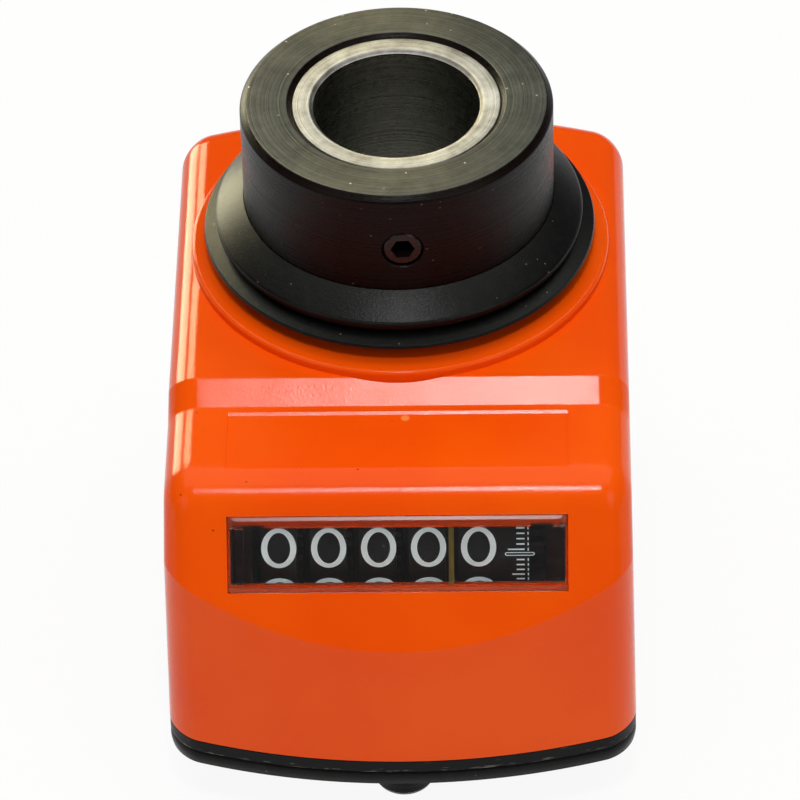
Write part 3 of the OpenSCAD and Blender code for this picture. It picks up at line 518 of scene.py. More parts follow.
nitrile, tree, mm = start_material("nitrile_rubber_moulded")
grain = add(tree, "TexNoise", {"Vector": mm, "Scale": 1 / GRAIN_MM, "Detail": 4.0, "Roughness": 0.65})
rubs = add(tree, "TexNoise", {"Vector": mm, "Scale": 1 / RUB_MM, "Detail": 5.0, "Roughness": 0.7})
pressed = add(tree, "Bump", {"Height": grain, "Strength": 0.3, "Distance": FINE_HIGH})
colour = add(tree, "ValToRGB", {0: rubs}, stops=[(0.45, "#070708"), (0.62, "#0D0D0E"), (0.8, "#22211F")])
dust = add(tree, "TexVoronoi", {"Vector": mm, "Scale": 1 / DUST_MM})
dust = add(tree, "MapRange", {0: dust, 1: DUST_CORE, 2: DUST_R, 3: DUST_PALE, 4: 0.0})
colour = add(tree, "MixRGB", {0: dust, 1: colour, 2: linear("#8A8478")})
satin = add(tree, "MapRange", {0: grain, 3: 0.24, 4: 0.4})
shader = add(tree, "BsdfPrincipled", {
    "Base Color": colour, "Roughness": satin, "IOR": 1.52, "Specular IOR Level": 0.15, "Normal": pressed,
})
add(tree, "OutputMaterial", {"Surface": shader})
print("materials:", black_abs.name, nitrile.name)

# %% [markdown]
# ## Back cover and gasket
#
# A black plate closes the housing from behind, and a rubber pad lies between it
# and the machine. Both have the housing's plan. Its outline is the same bowed
# line as the skin's lowest row, so each plate is that outline carried up through
# a few insets, which round its rim. The rubber's rim bulges a little, because
# the pad is pressed between the cover and the machine.

# %% Two plates with the housing's plan
PIN_Y, PIN_R, STEM_R = -34.0, 3.0, 3.3
SCREW_SPOTS = [(-18.12, -34.9), (-18.12, 15.5), (18.12, -34.9), (18.12, 15.5)]
COVER_RIM = [(0.1, COVER_Z), (0.02, COVER_Z + 0.1), (0.02, BASE_Z - 0.15), (0.2, BASE_Z)]
GASKET_RIM = [(0.35, 0), (0.12, 0.2), (0.02, 0.7), (0.0, 1.0), (0.05, 1.5), (0.3, COVER_Z)]
COVER_SCREW_R, GASKET_SCREW_R, GASKET_R, PIN_ROOM = 2.2, 2.3, 14.39, 0.1
COVER_HOLES = [(0, 0, BEARING_R), (0, PIN_Y, STEM_R)] + [(x, y, COVER_SCREW_R) for x, y in SCREW_SPOTS]
GASKET_HOLES = [(0, 0, GASKET_R), (0, PIN_Y, STEM_R + PIN_ROOM)]
GASKET_HOLES += [(x, y, GASKET_SCREW_R) for x, y in SCREW_SPOTS]
PLATE_CRISP = 35


def plan_loop(inset, z):
    """The housing's plan moved inwards: front edge from left to right, then back edge from right to left."""
    x, d = across(HALF_W - inset, EDGE_R - inset)
    sag = bow(x, END_R - inset)
    front = np.stack([x, sag + d - FRONT + inset, z + 0 * x], -1)
    return np.concatenate([front, (front * [1, 0, 1] + np.outer(BACK - inset - sag - d, [0, 1, 0]))[::-1]])


def plate(name, rim, holes, material):
    """A plate whose rim follows (inset, z) pairs, with round holes given as (x, y, r)."""
    piece = make_piece(name, *stack([plan_loop(inset, z) for inset, z in rim]), material, PLATE_CRISP)
    drills = [cutter(*stack(rod([r, r], [-PAST, BASE_Z + PAST], at=(x, y)))) for x, y, r in holes]
    cut(piece, *drills, angle=PLATE_CRISP)
    return piece


cover = plate("back_cover_plate", COVER_RIM, COVER_HOLES, black_abs)
hand_over(cover, "housing", "black_plastic", "back_cover")
gasket = plate("rear_gasket_pad", GASKET_RIM, GASKET_HOLES, nitrile)
hand_over(gasket, "housing", "black_rubber", "rear_gasket")

# %% [markdown]
# ## Steel
#
# The hollow shaft is turned from steel bar and blackened in a hot oxide bath,
# then oiled. The blackening leaves the tool marks: fine rings on the face and
# along the side, which draw a highlight out across them. On the face the coat
# has been rubbed thin, so it looks olive grey with pale dust. On the side the
# coat is whole: to the eye it is no metal but a brown-black skin with a gloss
# of its own. The reducing sleeve was faced after blackening, so its end shows
# bare, beige-grey steel. Real tool marks are a tenth of a millimetre apart;
# these are three times coarser, so that they show.

# %% Blackened and bare steel
MARK_MM, WEAR_MM, STEEL_DUST_MM = 0.31, 2.0, 1.6
STEEL_DUST_CORE, STEEL_DUST_R, DRAWN_OUT = 0.04, 0.08, 0.6


def steel(name, colours, roughness, marks, grooves, dusty=0.0, bare=1.0, gloss=0.5):
    """Turned steel: rings at each radius on a face, or at each height on a side, a noise that wears the coat,
    and pale dust. Bare is 1 for naked metal and 0 under a whole coat of oxide, whose gloss is then given."""
    material, tree, mm = start_material(name)
    apart = add(tree, "SeparateXYZ", {0: mm})
    flat = add(tree, "CombineXYZ", {0: apart.outputs[0], 1: apart.outputs[1]})
    radius = add(tree, "VectorMath", {0: flat}, operation="LENGTH").outputs["Value"]
    lines = add(tree, "TexNoise", {
        "W": radius if marks == "rings" else apart.outputs[2],
        "Scale": 1 / MARK_MM, "Detail": 4.0, "Roughness": 0.8,
    }, noise_dimensions="1D")
    worn = add(tree, "TexNoise", {"Vector": mm, "Scale": 1 / WEAR_MM, "Detail": 6.0, "Roughness": 0.7})
    both = add(tree, "Math", {0: lines, 1: worn}, operation="ADD")
    half = add(tree, "Math", {0: both, 1: 0.5}, operation="MULTIPLY")
    tooled = add(tree, "Bump", {"Height": lines, "Strength": grooves, "Distance": FINE_HIGH})
    colour = add(tree, "ValToRGB", {0: half}, stops=[(0.36, colours[0]), (0.64, colours[1])])
    dust = add(tree, "TexVoronoi", {"Vector": mm, "Scale": 1 / STEEL_DUST_MM})
    dust = add(tree, "MapRange", {0: dust, 1: STEEL_DUST_CORE, 2: STEEL_DUST_R, 3: dusty, 4: 0.0})
    colour = add(tree, "MixRGB", {0: dust, 1: colour, 2: linear("#E8E4D4")})
    dull = add(tree, "MapRange", {0: half, 1: 0.3, 2: 0.7, 3: roughness[0], 4: roughness[1]})
    around = add(tree, "Tangent", direction_type="RADIAL", axis="Z")
    shader = add(tree, "BsdfPrincipled", {
        "Base Color": colour, "Metallic": bare, "Roughness": dull, "Specular IOR Level": gloss,
        "Normal": tooled, "Anisotropic": DRAWN_OUT, "Tangent": around,
    })
    add(tree, "OutputMaterial", {"Surface": shader})
    print("material:", name)
    return material


oxide_side = steel("black_oxide_steel_side", ["#080302", "#110806"], (0.22, 0.34), "heights", 0.4,
                   dusty=0.06, bare=0.0, gloss=0.1)
oxide_face = steel("black_oxide_steel_face", ["#40403E", "#5F5E59"], (0.4, 0.52), "rings", 0.3, dusty=0.5)
bare_face = steel("bare_turned_steel", ["#7A7670", "#CECBC9"], (0.45, 0.6), "rings", 0.6)
oxide_bore = steel("oiled_steel_bore", ["#96968F", "#B8B8B1"], (0.2, 0.34), "heights", 0.3)
oxide_screw = steel("black_oxide_screw", ["#0B0808", "#141010"], (0.2, 0.3), "heights", 0.1,
                    bare=0.0, gloss=0.3)

# %% [markdown]
# ## Shaft, sleeve, seal and pin
#
# These are turned parts, so each is a profile carried round the shaft's axis.
# Real edges are never knife-sharp: every corner of a profile gets a small arc,
# which catches a thin line of light. The seal is a V-ring: a thick rubber body
# on the collar, a deep groove under it, and a thin lip that flares down to the
# boss. The set screw is turned about its own line, across the shaft, and a
# hexagon is cut into its end.

# %% Turn the hollow shaft
SHAFT_L, COLLAR_R, COLLAR_Z, SHAFT_R, SHAFT_BORE_R, BORE_R = 51.1, 15.0, 34.75, 11.5, 10.0, 8.0
COLLAR_EDGE, BORE_EDGE, FLAT = 0.6, 0.5, 0.03
RING_R, RING_Z, GEAR_SEAT_R, GEAR_Z = 10.9, (0.45, 1.7), 11.18, (7.99, 15.01)
SCREW_Z, SCREW_TURN, SCREW_R = 44.85, np.radians(2.5), 2.0
SCREW_HOLE = [SCREW_R, SCREW_R], [5, COLLAR_R - 0.1]
SCREW_SINK = [SCREW_R - 0.1, SCREW_R + 0.35], [COLLAR_R - 0.25, COLLAR_R + 0.2]
SHAFT_ARCS = [SMALL_R] * 12 + [0.35, 0.35, 0.15, 0.15]


def on_screw(x, up, reach):
    """Points on the set screw's line: x to its side, up, and reach out from the shaft's axis."""
    x, up, reach = np.broadcast_arrays(x, up, reach)
    side, out = [np.cos(SCREW_TURN), np.sin(SCREW_TURN), 0], [np.sin(SCREW_TURN), -np.cos(SCREW_TURN), 0]
    offset = x[..., None] * side + up[..., None] * np.array([0, 0, 1]) + reach[..., None] * out
    return offset + [0, 0, SCREW_Z]


def screw_rod(radii, reaches, steps=64):
    """A turned solid about the set screw's line."""
    return stack(on_screw(*np.moveaxis(rod(radii, reaches, steps), -1, 0)))


def finish_faces(piece, material, above):
    """Gives the faces whose middles lie above a height in mm a second material."""
    middles = np.empty(len(piece.data.polygons) * 3)
    piece.data.polygons.foreach_get("center", middles)
    piece.data.materials.append(material)
    piece.data.polygons.foreach_set("material_index", (middles[2::3] / MM > above).astype(np.int32))


shaft_line = [
    [SHAFT_BORE_R, 0], [SHAFT_R, 0], [SHAFT_R, RING_Z[0]], [RING_R, RING_Z[0]], [RING_R, RING_Z[1]],
    [SHAFT_R, RING_Z[1]], [SHAFT_R, GEAR_Z[0]], [GEAR_SEAT_R, GEAR_Z[0]], [GEAR_SEAT_R, GEAR_Z[1]],
    [SHAFT_R, GEAR_Z[1]], [SHAFT_R, COLLAR_Z], [COLLAR_R, COLLAR_Z], [COLLAR_R, SHAFT_L - COLLAR_EDGE],
    [COLLAR_R - COLLAR_EDGE, SHAFT_L], [SHAFT_BORE_R + BORE_EDGE, SHAFT_L],
    [SHAFT_BORE_R, SHAFT_L - BORE_EDGE],
]
shaft = make_piece("shaft_collar", *lathe(round_corners(shaft_line, SHAFT_ARCS)), oxide_side)
cut(shaft, cutter(*screw_rod(*SCREW_HOLE)), cutter(*screw_rod(*SCREW_SINK)))
finish_faces(shaft, oxide_face, SHAFT_L - FLAT)
hand_over(shaft, "shaft", "burnished_steel", "hollow_shaft")

# %% Turn the reducing sleeve
SLEEVE_TOP, SLEEVE_EDGE, FIT = 50.75, 0.35, 0.01
SLEEVE_HOLE = [SCREW_R + 0.1, SCREW_R + 0.1], [5, 12]
SLEEVE_ARCS = [SMALL_R, SMALL_R, 0.15, SMALL_R, SMALL_R]

sleeve_line = [[BORE_R, 0], [SHAFT_BORE_R - FIT, 0], [SHAFT_BORE_R - FIT, SLEEVE_TOP],
               [BORE_R + SLEEVE_EDGE, SLEEVE_TOP], [BORE_R, SLEEVE_TOP - SLEEVE_EDGE]]
sleeve = make_piece("bore_sleeve", *lathe(round_corners(sleeve_line, SLEEVE_ARCS)), oxide_bore)
cut(sleeve, cutter(*screw_rod(*SLEEVE_HOLE)))
finish_faces(sleeve, bare_face, SLEEVE_TOP - SLEEVE_EDGE)
hand_over(sleeve, "shaft", "bare_steel", "reducing_sleeve")

# %% Turn the seal, the set screw and the pin
SEAL_LINE = [
    [15.01, 34.5], [16.0, 34.5], [18.98, 36.0], [18.85, 36.3], [16.6, 36.75],
    [16.9, 37.15], [17.75, 37.35], [17.8, 38.0], [17.6, 38.2], [15.01, 40.1],
]
SEAL_ARCS = [0.05, 0.2, 0.08, 0.08, 0.2, 0.12, 0.12, 0.15, 0.15, 0.05]
SCREW_SIZES = [1.35, 1.8, 1.99, 1.99, 1.7], [8.25, 8.5, 8.8, 14.55, 14.8]
SOCKET_R, SOCKET_FLOOR = 1.155, 12.7
PIN_SIZES = [2.2, 2.75, PIN_R, PIN_R, STEM_R, STEM_R], [-6, -5.85, -5.4, -0.02, 0.0, 6.8]

seal = make_piece("seal_ring", *lathe(round_corners(SEAL_LINE, SEAL_ARCS)), nitrile)
hand_over(seal, "shaft", "black_rubber", "shaft_seal")

screw = make_piece("clamp_screw", *screw_rod(*SCREW_SIZES), oxide_screw)
hexagon = np.linspace(0, 2 * np.pi, 6, endpoint=False)
socket = [on_screw(SOCKET_R * np.cos(hexagon), SOCKET_R * np.sin(hexagon), reach)
          for reach in (SOCKET_FLOOR, COLLAR_R)]
cut(screw, cutter(*stack(socket)))
hand_over(screw, "shaft", "black_steel", "set_screw")

pin = make_piece("stop_pin", *stack(rod(*PIN_SIZES, at=(0, PIN_Y))), oxide_side)
hand_over(pin, "housing", "black_steel", "locating_pin")

# %% [markdown]
# ## Clear acrylic and the lens
#
# A clear plate drops into the window's pocket, its front edge bevelled and its
# ends held by two small clips. It is a rounded rectangle carried through pairs
# of inset and depth: up the sides, over the bevel, and eased into the face.
# Acrylic has a refractive index of 1.49 and almost no roughness, so that its
# bevel and its rear edges bend the view. Where the plate is glued to the ledge
# it has gone misty, which turns the orange behind it to copper. The mist is a
# roughness that grows with the distance past the opening's edge, up the slope
# or along the window, whichever is greater.

# %% Polished acrylic
MIST, CLEAR, CREEP, HAZE_MM = 0.3, 0.02, 0.4, 0.4
clear_low = OPEN_LOW + CREEP
opening_mid = float(lens_mid @ face_up + (OPEN_HIGH + clear_low) / 2)

acrylic, tree, mm = start_material("clear_acrylic_polished")
up = add(tree, "VectorMath", {0: mm, 1: tuple(face_up)}, operation="DOT_PRODUCT").outputs["Value"]
up = add(tree, "Math", {0: up, 1: opening_mid}, operation="SUBTRACT")
up = add(tree, "Math", {0: up}, operation="ABSOLUTE")
up = add(tree, "Math", {0: up, 1: (OPEN_HIGH - clear_low) / 2}, operation="SUBTRACT")
along = add(tree, "Math", {0: add(tree, "SeparateXYZ", {0: mm})}, operation="ABSOLUTE")
along = add(tree, "Math", {0: along, 1: OPEN_HALF}, operation="SUBTRACT")
past_edge = add(tree, "Math", {0: up, 1: along}, operation="MAXIMUM")
haze = add(tree, "MapRange", {0: past_edge, 1: 0.0, 2: HAZE_MM, 3: CLEAR, 4: MIST})
shader = add(tree, "BsdfPrincipled", {
    "Base Color": (1, 1, 1, 1), "Transmission Weight": 1.0, "IOR": 1.49, "Roughness": haze,
})
add(tree, "OutputMaterial", {"Surface": shader})
print("material:", acrylic.name)

# %% Lens with its clips
LENS_ROOM, LENS_ARC, LENS_CRISP = 0.05, 0.35, 15
CLIP_T, CLIP_ARC, CLIP_JOIN, CLIP_END = 0.9, 0.2, 0.2, 3.05
LENS_RIM = [
    (0.1, LENS_T), (0, LENS_T - 0.1), (0, 0.225), (0.37, 0.04),
    (0.42, 0.018), (0.48, 0.004), (0.55, 0.0),
]


def plate_loop(left, right, low, high, depth, radius=LENS_ARC):
    """A rounded rectangle on the window at one depth."""
    x, up = round_corners([[left, low], [right, low], [right, high], [left, high]], radius).T
    return on_window(x, up, depth)


wide, high = LENS_W / 2 - LENS_ROOM, LENS_H / 2 - LENS_ROOM
window = make_piece("lens_plate", *stack([
    plate_loop(inset - wide, wide - inset, inset - high, high - inset, depth)
    for inset, depth in LENS_RIM
]), acrylic, LENS_CRISP)
clip_room = 2 * LENS_ROOM
clip_out = OPEN_HALF - clip_room
for left in (-clip_out, clip_out - CLIP_T):
    clip = [plate_loop(left, left + CLIP_T, OPEN_LOW + clip_room, OPEN_HIGH - clip_room, depth, CLIP_ARC)
            for depth in (LENS_T - CLIP_JOIN, CLIP_END)]
    cut(window, cutter(*stack(clip)), operation="UNION", angle=LENS_CRISP)
hand_over(window, "housing", "clear_plastic", "window_lens")

# %% [markdown]
# ## Number wheels
#
# Each wheel's rim is a smooth band of black acetal with the ten figures printed
# on it, one every 36 degrees. The white ink is slightly uneven, and it has a
# faint bluish glow, painted light that brightens the figures behind the lens. A
# figure is a ribbon of ink: a stroke's middle line, widened to both sides as by
# a flat pen, laid round the band and given the thickness of the ink. A font
# could be wrapped round the wheel, but these plain counter figures are a few
# arcs and lines. The lens bends the view, so the figures stand a little further
# apart than the wheels do.

# %% Acetal bands
WHEELS = ["ten_thousands", "thousands", "hundreds", "tens", "units"]
WHEEL_Y, WHEEL_Z, FIRST_X, WHEEL_PITCH = -26.65512, 19.81521, -11.25, 4.65
BAND_R, BAND_T, BAND_HALF, SCALE_END, BAND_STEPS = 7.93, 0.7, 1.72, 12.33, 144
BAND_ARCS, GRAINS_PER_MM = [0.05, 0.05, 0.12, 0.12], 6.0
wheel_x = FIRST_X + WHEEL_PITCH * np.arange(len(WHEELS))

wheel_black, tree, mm = start_material("black_acetal_wheel")
grain = add(tree, "TexNoise", {"Vector": mm, "Scale": GRAINS_PER_MM, "Detail": 2.0})
colour = add(tree, "ValToRGB", {0: grain}, stops=[(0.3, "#0B0B0D"), (0.7, "#131315")])
shader = add(tree, "BsdfPrincipled", {"Base Color": colour, "Roughness": 0.42, "IOR": 1.48})
add(tree, "OutputMaterial", {"Surface": shader})


def on_wheel(x, angle, radius):
    """Points round the wheels' axle: angle is measured from the window's outward line, upwards."""
    x, angle, radius = np.broadcast_arrays(x, angle, radius)
    out = -np.cos(angle)[..., None] * face_in + np.sin(angle)[..., None] * face_up
    return x[..., None] * np.array([1, 0, 0]) + [0, WHEEL_Y, WHEEL_Z] + radius[..., None] * out


inside = BAND_R - BAND_T
round_trip = np.linspace(0, 2 * np.pi, BAND_STEPS, endpoint=False)
for name, x in zip(WHEELS, wheel_x):
    start, end = x - BAND_HALF, SCALE_END if name == "units" else x + BAND_HALF
    profile = round_corners([[inside, start], [inside, end], [BAND_R, end], [BAND_R, start]], BAND_ARCS)
    band = make_piece(name + "_band", on_wheel(profile[:, 1:], round_trip, profile[:, :1]),
                      grid_faces(len(profile), BAND_STEPS, True, True), wheel_black)
    hand_over(band, name + "_wheel", "wheel_plastic")

# %% White ink with a painted glow
INK, INK_W, PEN, SPECKS_PER_MM = 0.03, 0.58, 0.72, 9.0

white_ink_glowing, tree, mm = start_material("white_ink_with_painted_glow")
grain = add(tree, "TexNoise", {"Vector": mm, "Scale": SPECKS_PER_MM, "Detail": 2.0})
colour = add(tree, "ValToRGB", {0: grain}, stops=[(0.3, "#E4EAEE"), (0.7, "#FAFCFD")])
# The emission is painted light: a faint bluish glow that brightens all the ink, the index loop too.
shader = add(tree, "BsdfPrincipled", {
    "Base Color": colour, "Roughness": 0.5, "IOR": 1.5,
    "Emission Color": linear("#D0F0F0"), "Emission Strength": 0.26,
})
add(tree, "OutputMaterial", {"Surface": shader})
print("material:", white_ink_glowing.name)

# %% Strokes of ink
LINE_STEPS = 12


def bend(mid_x, mid_y, wide, high, start, stop, steps=40):
    """Part of an ellipse, between two angles in degrees."""
    a = np.radians(np.linspace(start, stop, steps + 1))
    return np.stack([mid_x + wide * np.cos(a), mid_y + high * np.sin(a)], -1)


def line(*points):
    """Straight strokes through the points, with steps short enough to lie on the band."""
    points = np.array(points, float)
    return np.concatenate([np.linspace(a, b, LINE_STEPS) for a, b in zip(points, points[1:])])


def ribbon(path, width):
    """Ink along a path: its edges are half the width along the path's normal, flattened by PEN upwards.
    Returns them as (point, 4, 3) columns of (x, up, height), bottom and top, and whether the path closes."""
    closed = np.allclose(path[0], path[-1])
    path = path[:-1] if closed else path
    run = (np.roll(path, -1, 0) - np.roll(path, 1, 0)) if closed else np.gradient(path, axis=0)
    normal = np.stack([-run[:, 1], run[:, 0]], -1) / np.linalg.norm(run, axis=1, keepdims=True)
    side = normal * [width / 2, width / 2 * PEN]
    signs = (1, -INK), (1, INK), (-1, INK), (-1, -INK)
    return np.stack([np.insert(path + sign * side, 2, height, axis=1) for sign, height in signs], 1), closed


def print_strokes(name, place, strokes):
    """One piece from many ribbons. A stroke is (path, width, x, up), and place sends x, up and height to
    their point in space."""
    points, faces, count = [], [], 0
    for path, width, x, up in strokes:
        edges, closed = ribbon(path, width)
        rows = len(edges)
        points.append(place(x + edges[..., 0], up + edges[..., 1], edges[..., 2]).reshape(-1, 3))
        quads = grid_faces(rows, 4, wrap_rows=closed, wrap_columns=True)
        quads += [] if closed else [[0, 1, 2, 3], [rows * 4 - 4 + k for k in range(4)]]
        faces += (np.array(quads) + count).tolist()
        count += rows * 4
    return make_piece(name, np.concatenate(points), faces, white_ink_glowing)


def on_band(x, up, height):
    """Points on a wheel's band: up is measured along the rim, height outwards from it."""
    return on_wheel(x, up / BAND_R, BAND_R + height)


print("strokes are", INK_W, "mm wide")

# %% Figures
FIG_W, FIG_H, FIG_PITCH = 1.37, 1.68, 4.705
FIG_HALF = FIG_H / 2
FIGURES = [
    [bend(0, 0, FIG_W, FIG_H, 0, 360, 72)],
    [line((0.25, -FIG_H), (0.25, FIG_H)), line((0.25, FIG_H - 0.1), (-0.75, FIG_H - 0.75))],
    [np.concatenate([bend(0, FIG_HALF, FIG_W, FIG_HALF, 170, -35), line((1.05, 0.2), (-1.2, -FIG_H))]),
     line((-1.3, -FIG_H), (1.35, -FIG_H))],
    [bend(-0.1, FIG_HALF, 1.2, FIG_HALF, 160, -95), bend(-0.1, -FIG_HALF, 1.36, FIG_HALF, 90, -160)],
    [line((0.55, -FIG_H), (0.55, FIG_H)), line((0.45, FIG_H), (-1.3, -0.6)),
     line((-1.4, -0.7), (1.35, -0.7))],
    [line((1.15, FIG_H), (-0.95, FIG_H)), line((-0.95, FIG_H), (-1.1, 0.1)),
     bend(-0.1, -0.65, 1.36, 1.13, 140, -150)],
    [bend(0, -0.7, FIG_W, 1.08, 0, 360, 60), bend(0.3, -0.7, 1.66, 2.48, 180, 95)],
    [line((-1.3, FIG_H), (1.35, FIG_H)), line((1.25, FIG_H), (-0.4, -FIG_H))],
    [bend(0, 0.92, 1.12, 0.84, 0, 360, 60), bend(0, -0.86, FIG_W, 0.92, 0, 360, 60)],
    [bend(0, 0.7, FIG_W, 1.08, 0, 360, 60), bend(-0.3, 0.7, 1.66, 2.48, 0, -85)],
]
figure_step = 2 * np.pi * BAND_R / len(FIGURES)
for name, x in zip(WHEELS, FIRST_X + FIG_PITCH * np.arange(len(WHEELS))):
    strokes = [(stroke, INK_W, x, k * figure_step) for k, figure in enumerate(FIGURES) for stroke in figure]
    hand_over(print_strokes(name + "_figures", on_band, strokes), name + "_wheel", "wheel_plastic")

# %% [markdown]
# ## Fine scale and index
#
# One turn of the units wheel is divided into a hundred by short ticks, with
# longer ones at the fives and tens. Beside each tick, a short white dash at the
# band's rim is a painted glint of a notched edge; the rim itself is smooth.
# A narrow loop on the back of the lens, filled with black, is the index.

# %% Fine scale
TICKS, TICK_W, TICK_END, TENTH, FIFTH, SHORT = 100, 0.18, 11.9, 10.33, 10.72, 11.13
FIRST_TICK, RIM_GLINT_X, RIM_GLINT_W, RIM_GLINT_L = np.radians(-1.7) * BAND_R, 12.235, 0.11, 0.13

tick_step = 2 * np.pi * BAND_R / TICKS
ticks = []
for k in range(TICKS):
    left = TENTH if k % 10 == 0 else FIFTH if k % 5 == 0 else SHORT
    ticks.append((line((left, 0), (TICK_END, 0)), TICK_W, 0, FIRST_TICK + k * tick_step))
    # Painted glint: a white dash at the rim stands for light caught on a notch.
    ticks.append((line((RIM_GLINT_X, -RIM_GLINT_L), (RIM_GLINT_X, RIM_GLINT_L)), RIM_GLINT_W, 0, FIRST_TICK + k * tick_step))
hand_over(print_strokes("units_fine_scale", on_band, ticks), "units_wheel", "wheel_plastic")

# %% Index loop
INDEX_X, INDEX_UP, INDEX_L, INDEX_R, INDEX_W = 11.45, -0.32, 1.22, 0.13, 0.09
INDEX_GAP, END_STEPS = 0.005, 16

right_end = bend(INDEX_L, 0, INDEX_R, INDEX_R, -90, 90, END_STEPS)
left_end = bend(-INDEX_L, 0, INDEX_R, INDEX_R, 90, 270, END_STEPS)
loop = np.concatenate([right_end, left_end, right_end[:1]])


def behind_lens(x, up, height):
    """Points on the back of the lens: height towards the wheels."""
    return on_window(x, up, LENS_T + INK + INDEX_GAP + height)


index = print_strokes("index_loop", behind_lens, [(loop, INDEX_W, INDEX_X, INDEX_UP)])
hand_over(index, "housing", "clear_plastic")
fill = [behind_lens(INDEX_X + loop[:-1, 0], INDEX_UP + loop[:-1, 1], height) for height in (INK / 2, 2 * INK)]
hand_over(make_piece("index_fill", *stack(fill), wheel_black), "housing", "clear_plastic")

# %% [markdown]
# ## Finishes of the hidden parts
#
# The gears, axles, screws and the counter's frame keep their CAD shapes and get
# a finish by the record's slot: natural acetal is creamy and dull, zinc-plated
# steel is pale, and the frame is nylon in a dark red-brown, a painted shade that
# stands for the shaded orange walls seen past the lens's ends. The decimal bar
# is a strip of yellow styrene that shows between the last two figures.

# %% Plain plastics and plated steel
PLAIN_CLOUD_MM = 1.25


def moulded(name, colours, roughness, ior):
    """Plain moulded plastic: a faint cloud in the colour and a fine grain."""
    material, tree, mm = start_material(name)
    cloud = add(tree, "TexNoise", {"Vector": mm, "Scale": 1 / PLAIN_CLOUD_MM, "Detail": 3.0})
    grain = add(tree, "TexNoise", {"Vector": mm, "Scale": GRAINS_PER_MM, "Detail": 2.0})
    pressed = add(tree, "Bump", {"Height": grain, "Strength": 0.15, "Distance": FINE_HIGH})
    colour = add(tree, "ValToRGB", {0: cloud}, stops=[(0.3, colours[0]), (0.7, colours[1])])
    shader = add(tree, "BsdfPrincipled", {
        "Base Color": colour, "Roughness": roughness, "IOR": ior, "Normal": pressed,
    })
    add(tree, "OutputMaterial", {"Surface": shader})
    print("material:", name)
    return material


zinc = steel("zinc_plated_steel", ["#9C9EA2", "#B4B6BA"], (0.25, 0.4), "heights", 0.1)
yellow = moulded("yellow_styrene_strip", ["#6E5C08", "#80690C"], 0.4, 1.59)
acetal = moulded("natural_acetal_gear", ["#E4DCC6", "#EFE8D6"], 0.4, 1.48)
# The frame's red-brown is painted shade: the shaded orange walls seen past the ends of the lens.
nylon_painted_shade = moulded("nylon_frame_painted_shade", ["#684A42", "#785850"], 0.5, 1.53)

# %% Finishes of the CAD nodes
BY_SLOT = {
    "yellow_plastic": yellow, "black_steel": oxide_screw, "zinc_steel": zinc, "cream_plastic": acetal,
    "grey_plastic": nylon_painted_shade, "wheel_plastic": wheel_black, "orange_plastic": orange_abs,
    "black_plastic": black_abs, "black_rubber": nitrile, "clear_plastic": acrylic,
    "burnished_steel": oxide_side, "bare_steel": oxide_bore,
}
for part in frame["record"]["subparts"]:
    for holder in nodes[part["node"]].material_slots:
        holder.material = BY_SLOT[part["material_slot"]]

# %% [markdown]
# ## Floor and light
#
# The photograph is a packshot on white: a large soft light overhead, a strip in
# two lengths above the camera that draws the line on the lip and fills the
# bevel, two soft fills from the sides, and two cream panels behind on the left
# whose reflections run down the round edge. Those two are cards that show in
# gloss only, so that they don't tint the rest. The floor is white paper. Its
# material adds its own white to camera, mirror and glass rays, and keeps part
# of the object's shadow.

# %% Floor
FLOOR_Z, FLOOR_HALF, OWN_WHITE, FIBRE_MM = -6.0, 3000, 0.92, 2.0
paper, tree, mm = start_material("white_paper_floor")
rays = add(tree, "LightPath")
seen = add(tree, "Math", {
    0: rays.outputs["Is Camera Ray"], 1: rays.outputs["Is Glossy Ray"],
}, operation="ADD")
seen = add(tree, "Math", {0: seen, 1: rays.outputs["Is Transmission Ray"]}, operation="ADD")
share = add(tree, "Math", {0: seen, 1: OWN_WHITE}, operation="MULTIPLY", use_clamp=True)
fibre = add(tree, "TexNoise", {"Vector": mm, "Scale": 1 / FIBRE_MM, "Detail": 4.0})
matt = add(tree, "ValToRGB", {0: fibre}, stops=[(0.3, "#F0F0F0"), (0.7, "#F6F6F6")])
matt = add(tree, "BsdfDiffuse", {"Color": matt})
glow = add(tree, "Emission", {"Color": (1, 1, 1, 1), "Strength": 1.0})
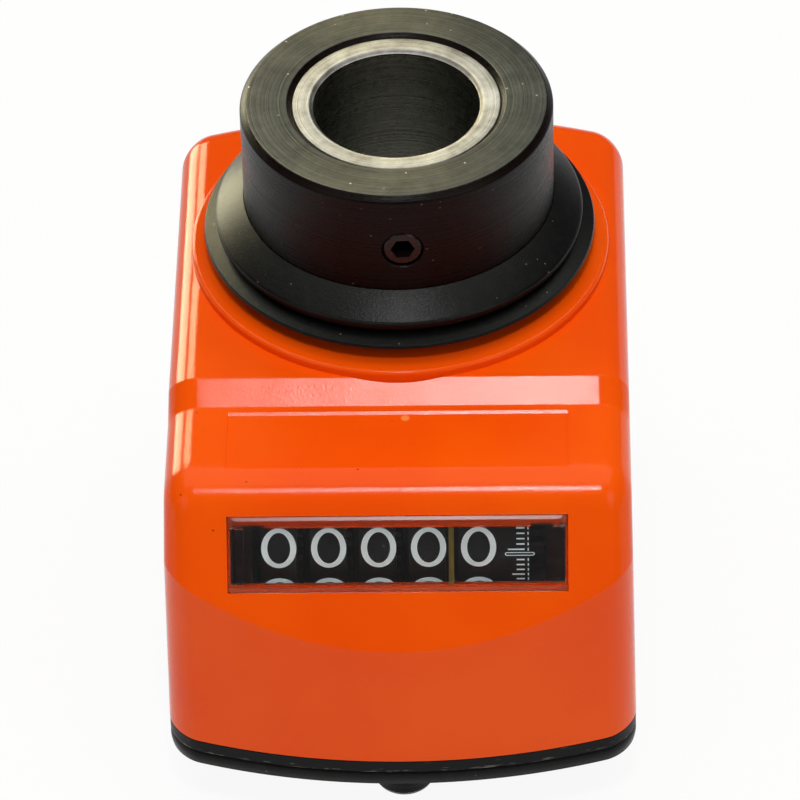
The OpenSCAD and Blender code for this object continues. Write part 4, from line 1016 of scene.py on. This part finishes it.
both = add(tree, "MixShader", {0: share, 1: matt, 2: glow})
add(tree, "OutputMaterial", {"Surface": both})
corners = FLOOR_HALF * np.array([[-1, -1, 0], [1, -1, 0], [1, 1, 0], [-1, 1, 0]]) + [0, 0, FLOOR_Z]
floor = make_piece("floor", corners, [[0, 1, 2, 3]], paper)
print("floor at", FLOOR_Z, "mm")

# %% Lights
WORLD_LIGHT, AIM, ALMOST_Y = 0.12, np.array([0, -10, 25]), [0, 1, 0.01]


def lamp(name, at, wide, high, watts, colour="#FFFFFF", card=False):
    """A soft rectangle of light at a place in mm, facing the object, its width square to Y. A card shows in
    gloss only."""
    light = bpy.data.lights.new(name, "AREA")
    light.shape, light.size, light.size_y, light.energy = "RECTANGLE", wide * MM, high * MM, watts
    light.color = linear(colour)[:3]
    away = (np.array(at) - AIM) / np.linalg.norm(np.array(at) - AIM)
    right = np.cross(ALMOST_Y, away)
    right /= np.linalg.norm(right)
    place = np.eye(4)
    place[:3, :3] = np.transpose([right, np.cross(away, right), away])
    place[:3, 3] = np.array(at) * MM
    holder = bpy.data.objects.new(name, light)
    holder.matrix_world = place.T
    holder.visible_diffuse = not card
    scene.collection.objects.link(holder)
    print(name, "at", at, watts, "W")


lamp("overhead", (0, 220, 880), 1400, 900, 7.0, "#F8FFF0")
lamp("front_strip", (-12, -265, 600), 100, 75, 0.6)
lamp("strip_end", (20, -258, 585), 18, 70, 0.58)
lamp("front_left", (-430, -400, 400), 320, 320, 0.4, "#FFF6F0")
lamp("front_right", (430, -400, 400), 320, 320, 0.65, "#FFF6F0")
lamp("cream_low", (-340, 420, 107), 215, 190, 2.1, "#FFF6CC", card=True)
lamp("cream_high", (-215, 420, 310), 156, 140, 1.4, "#FFF4C4", card=True)
world = bpy.data.worlds.new("studio")
world.use_nodes = True
world.node_tree.nodes["Background"].inputs["Color"].default_value = (1, 1, 1, 1)
world.node_tree.nodes["Background"].inputs["Strength"].default_value = WORLD_LIGHT
scene.world = world
scene.view_settings.view_transform = "Standard"
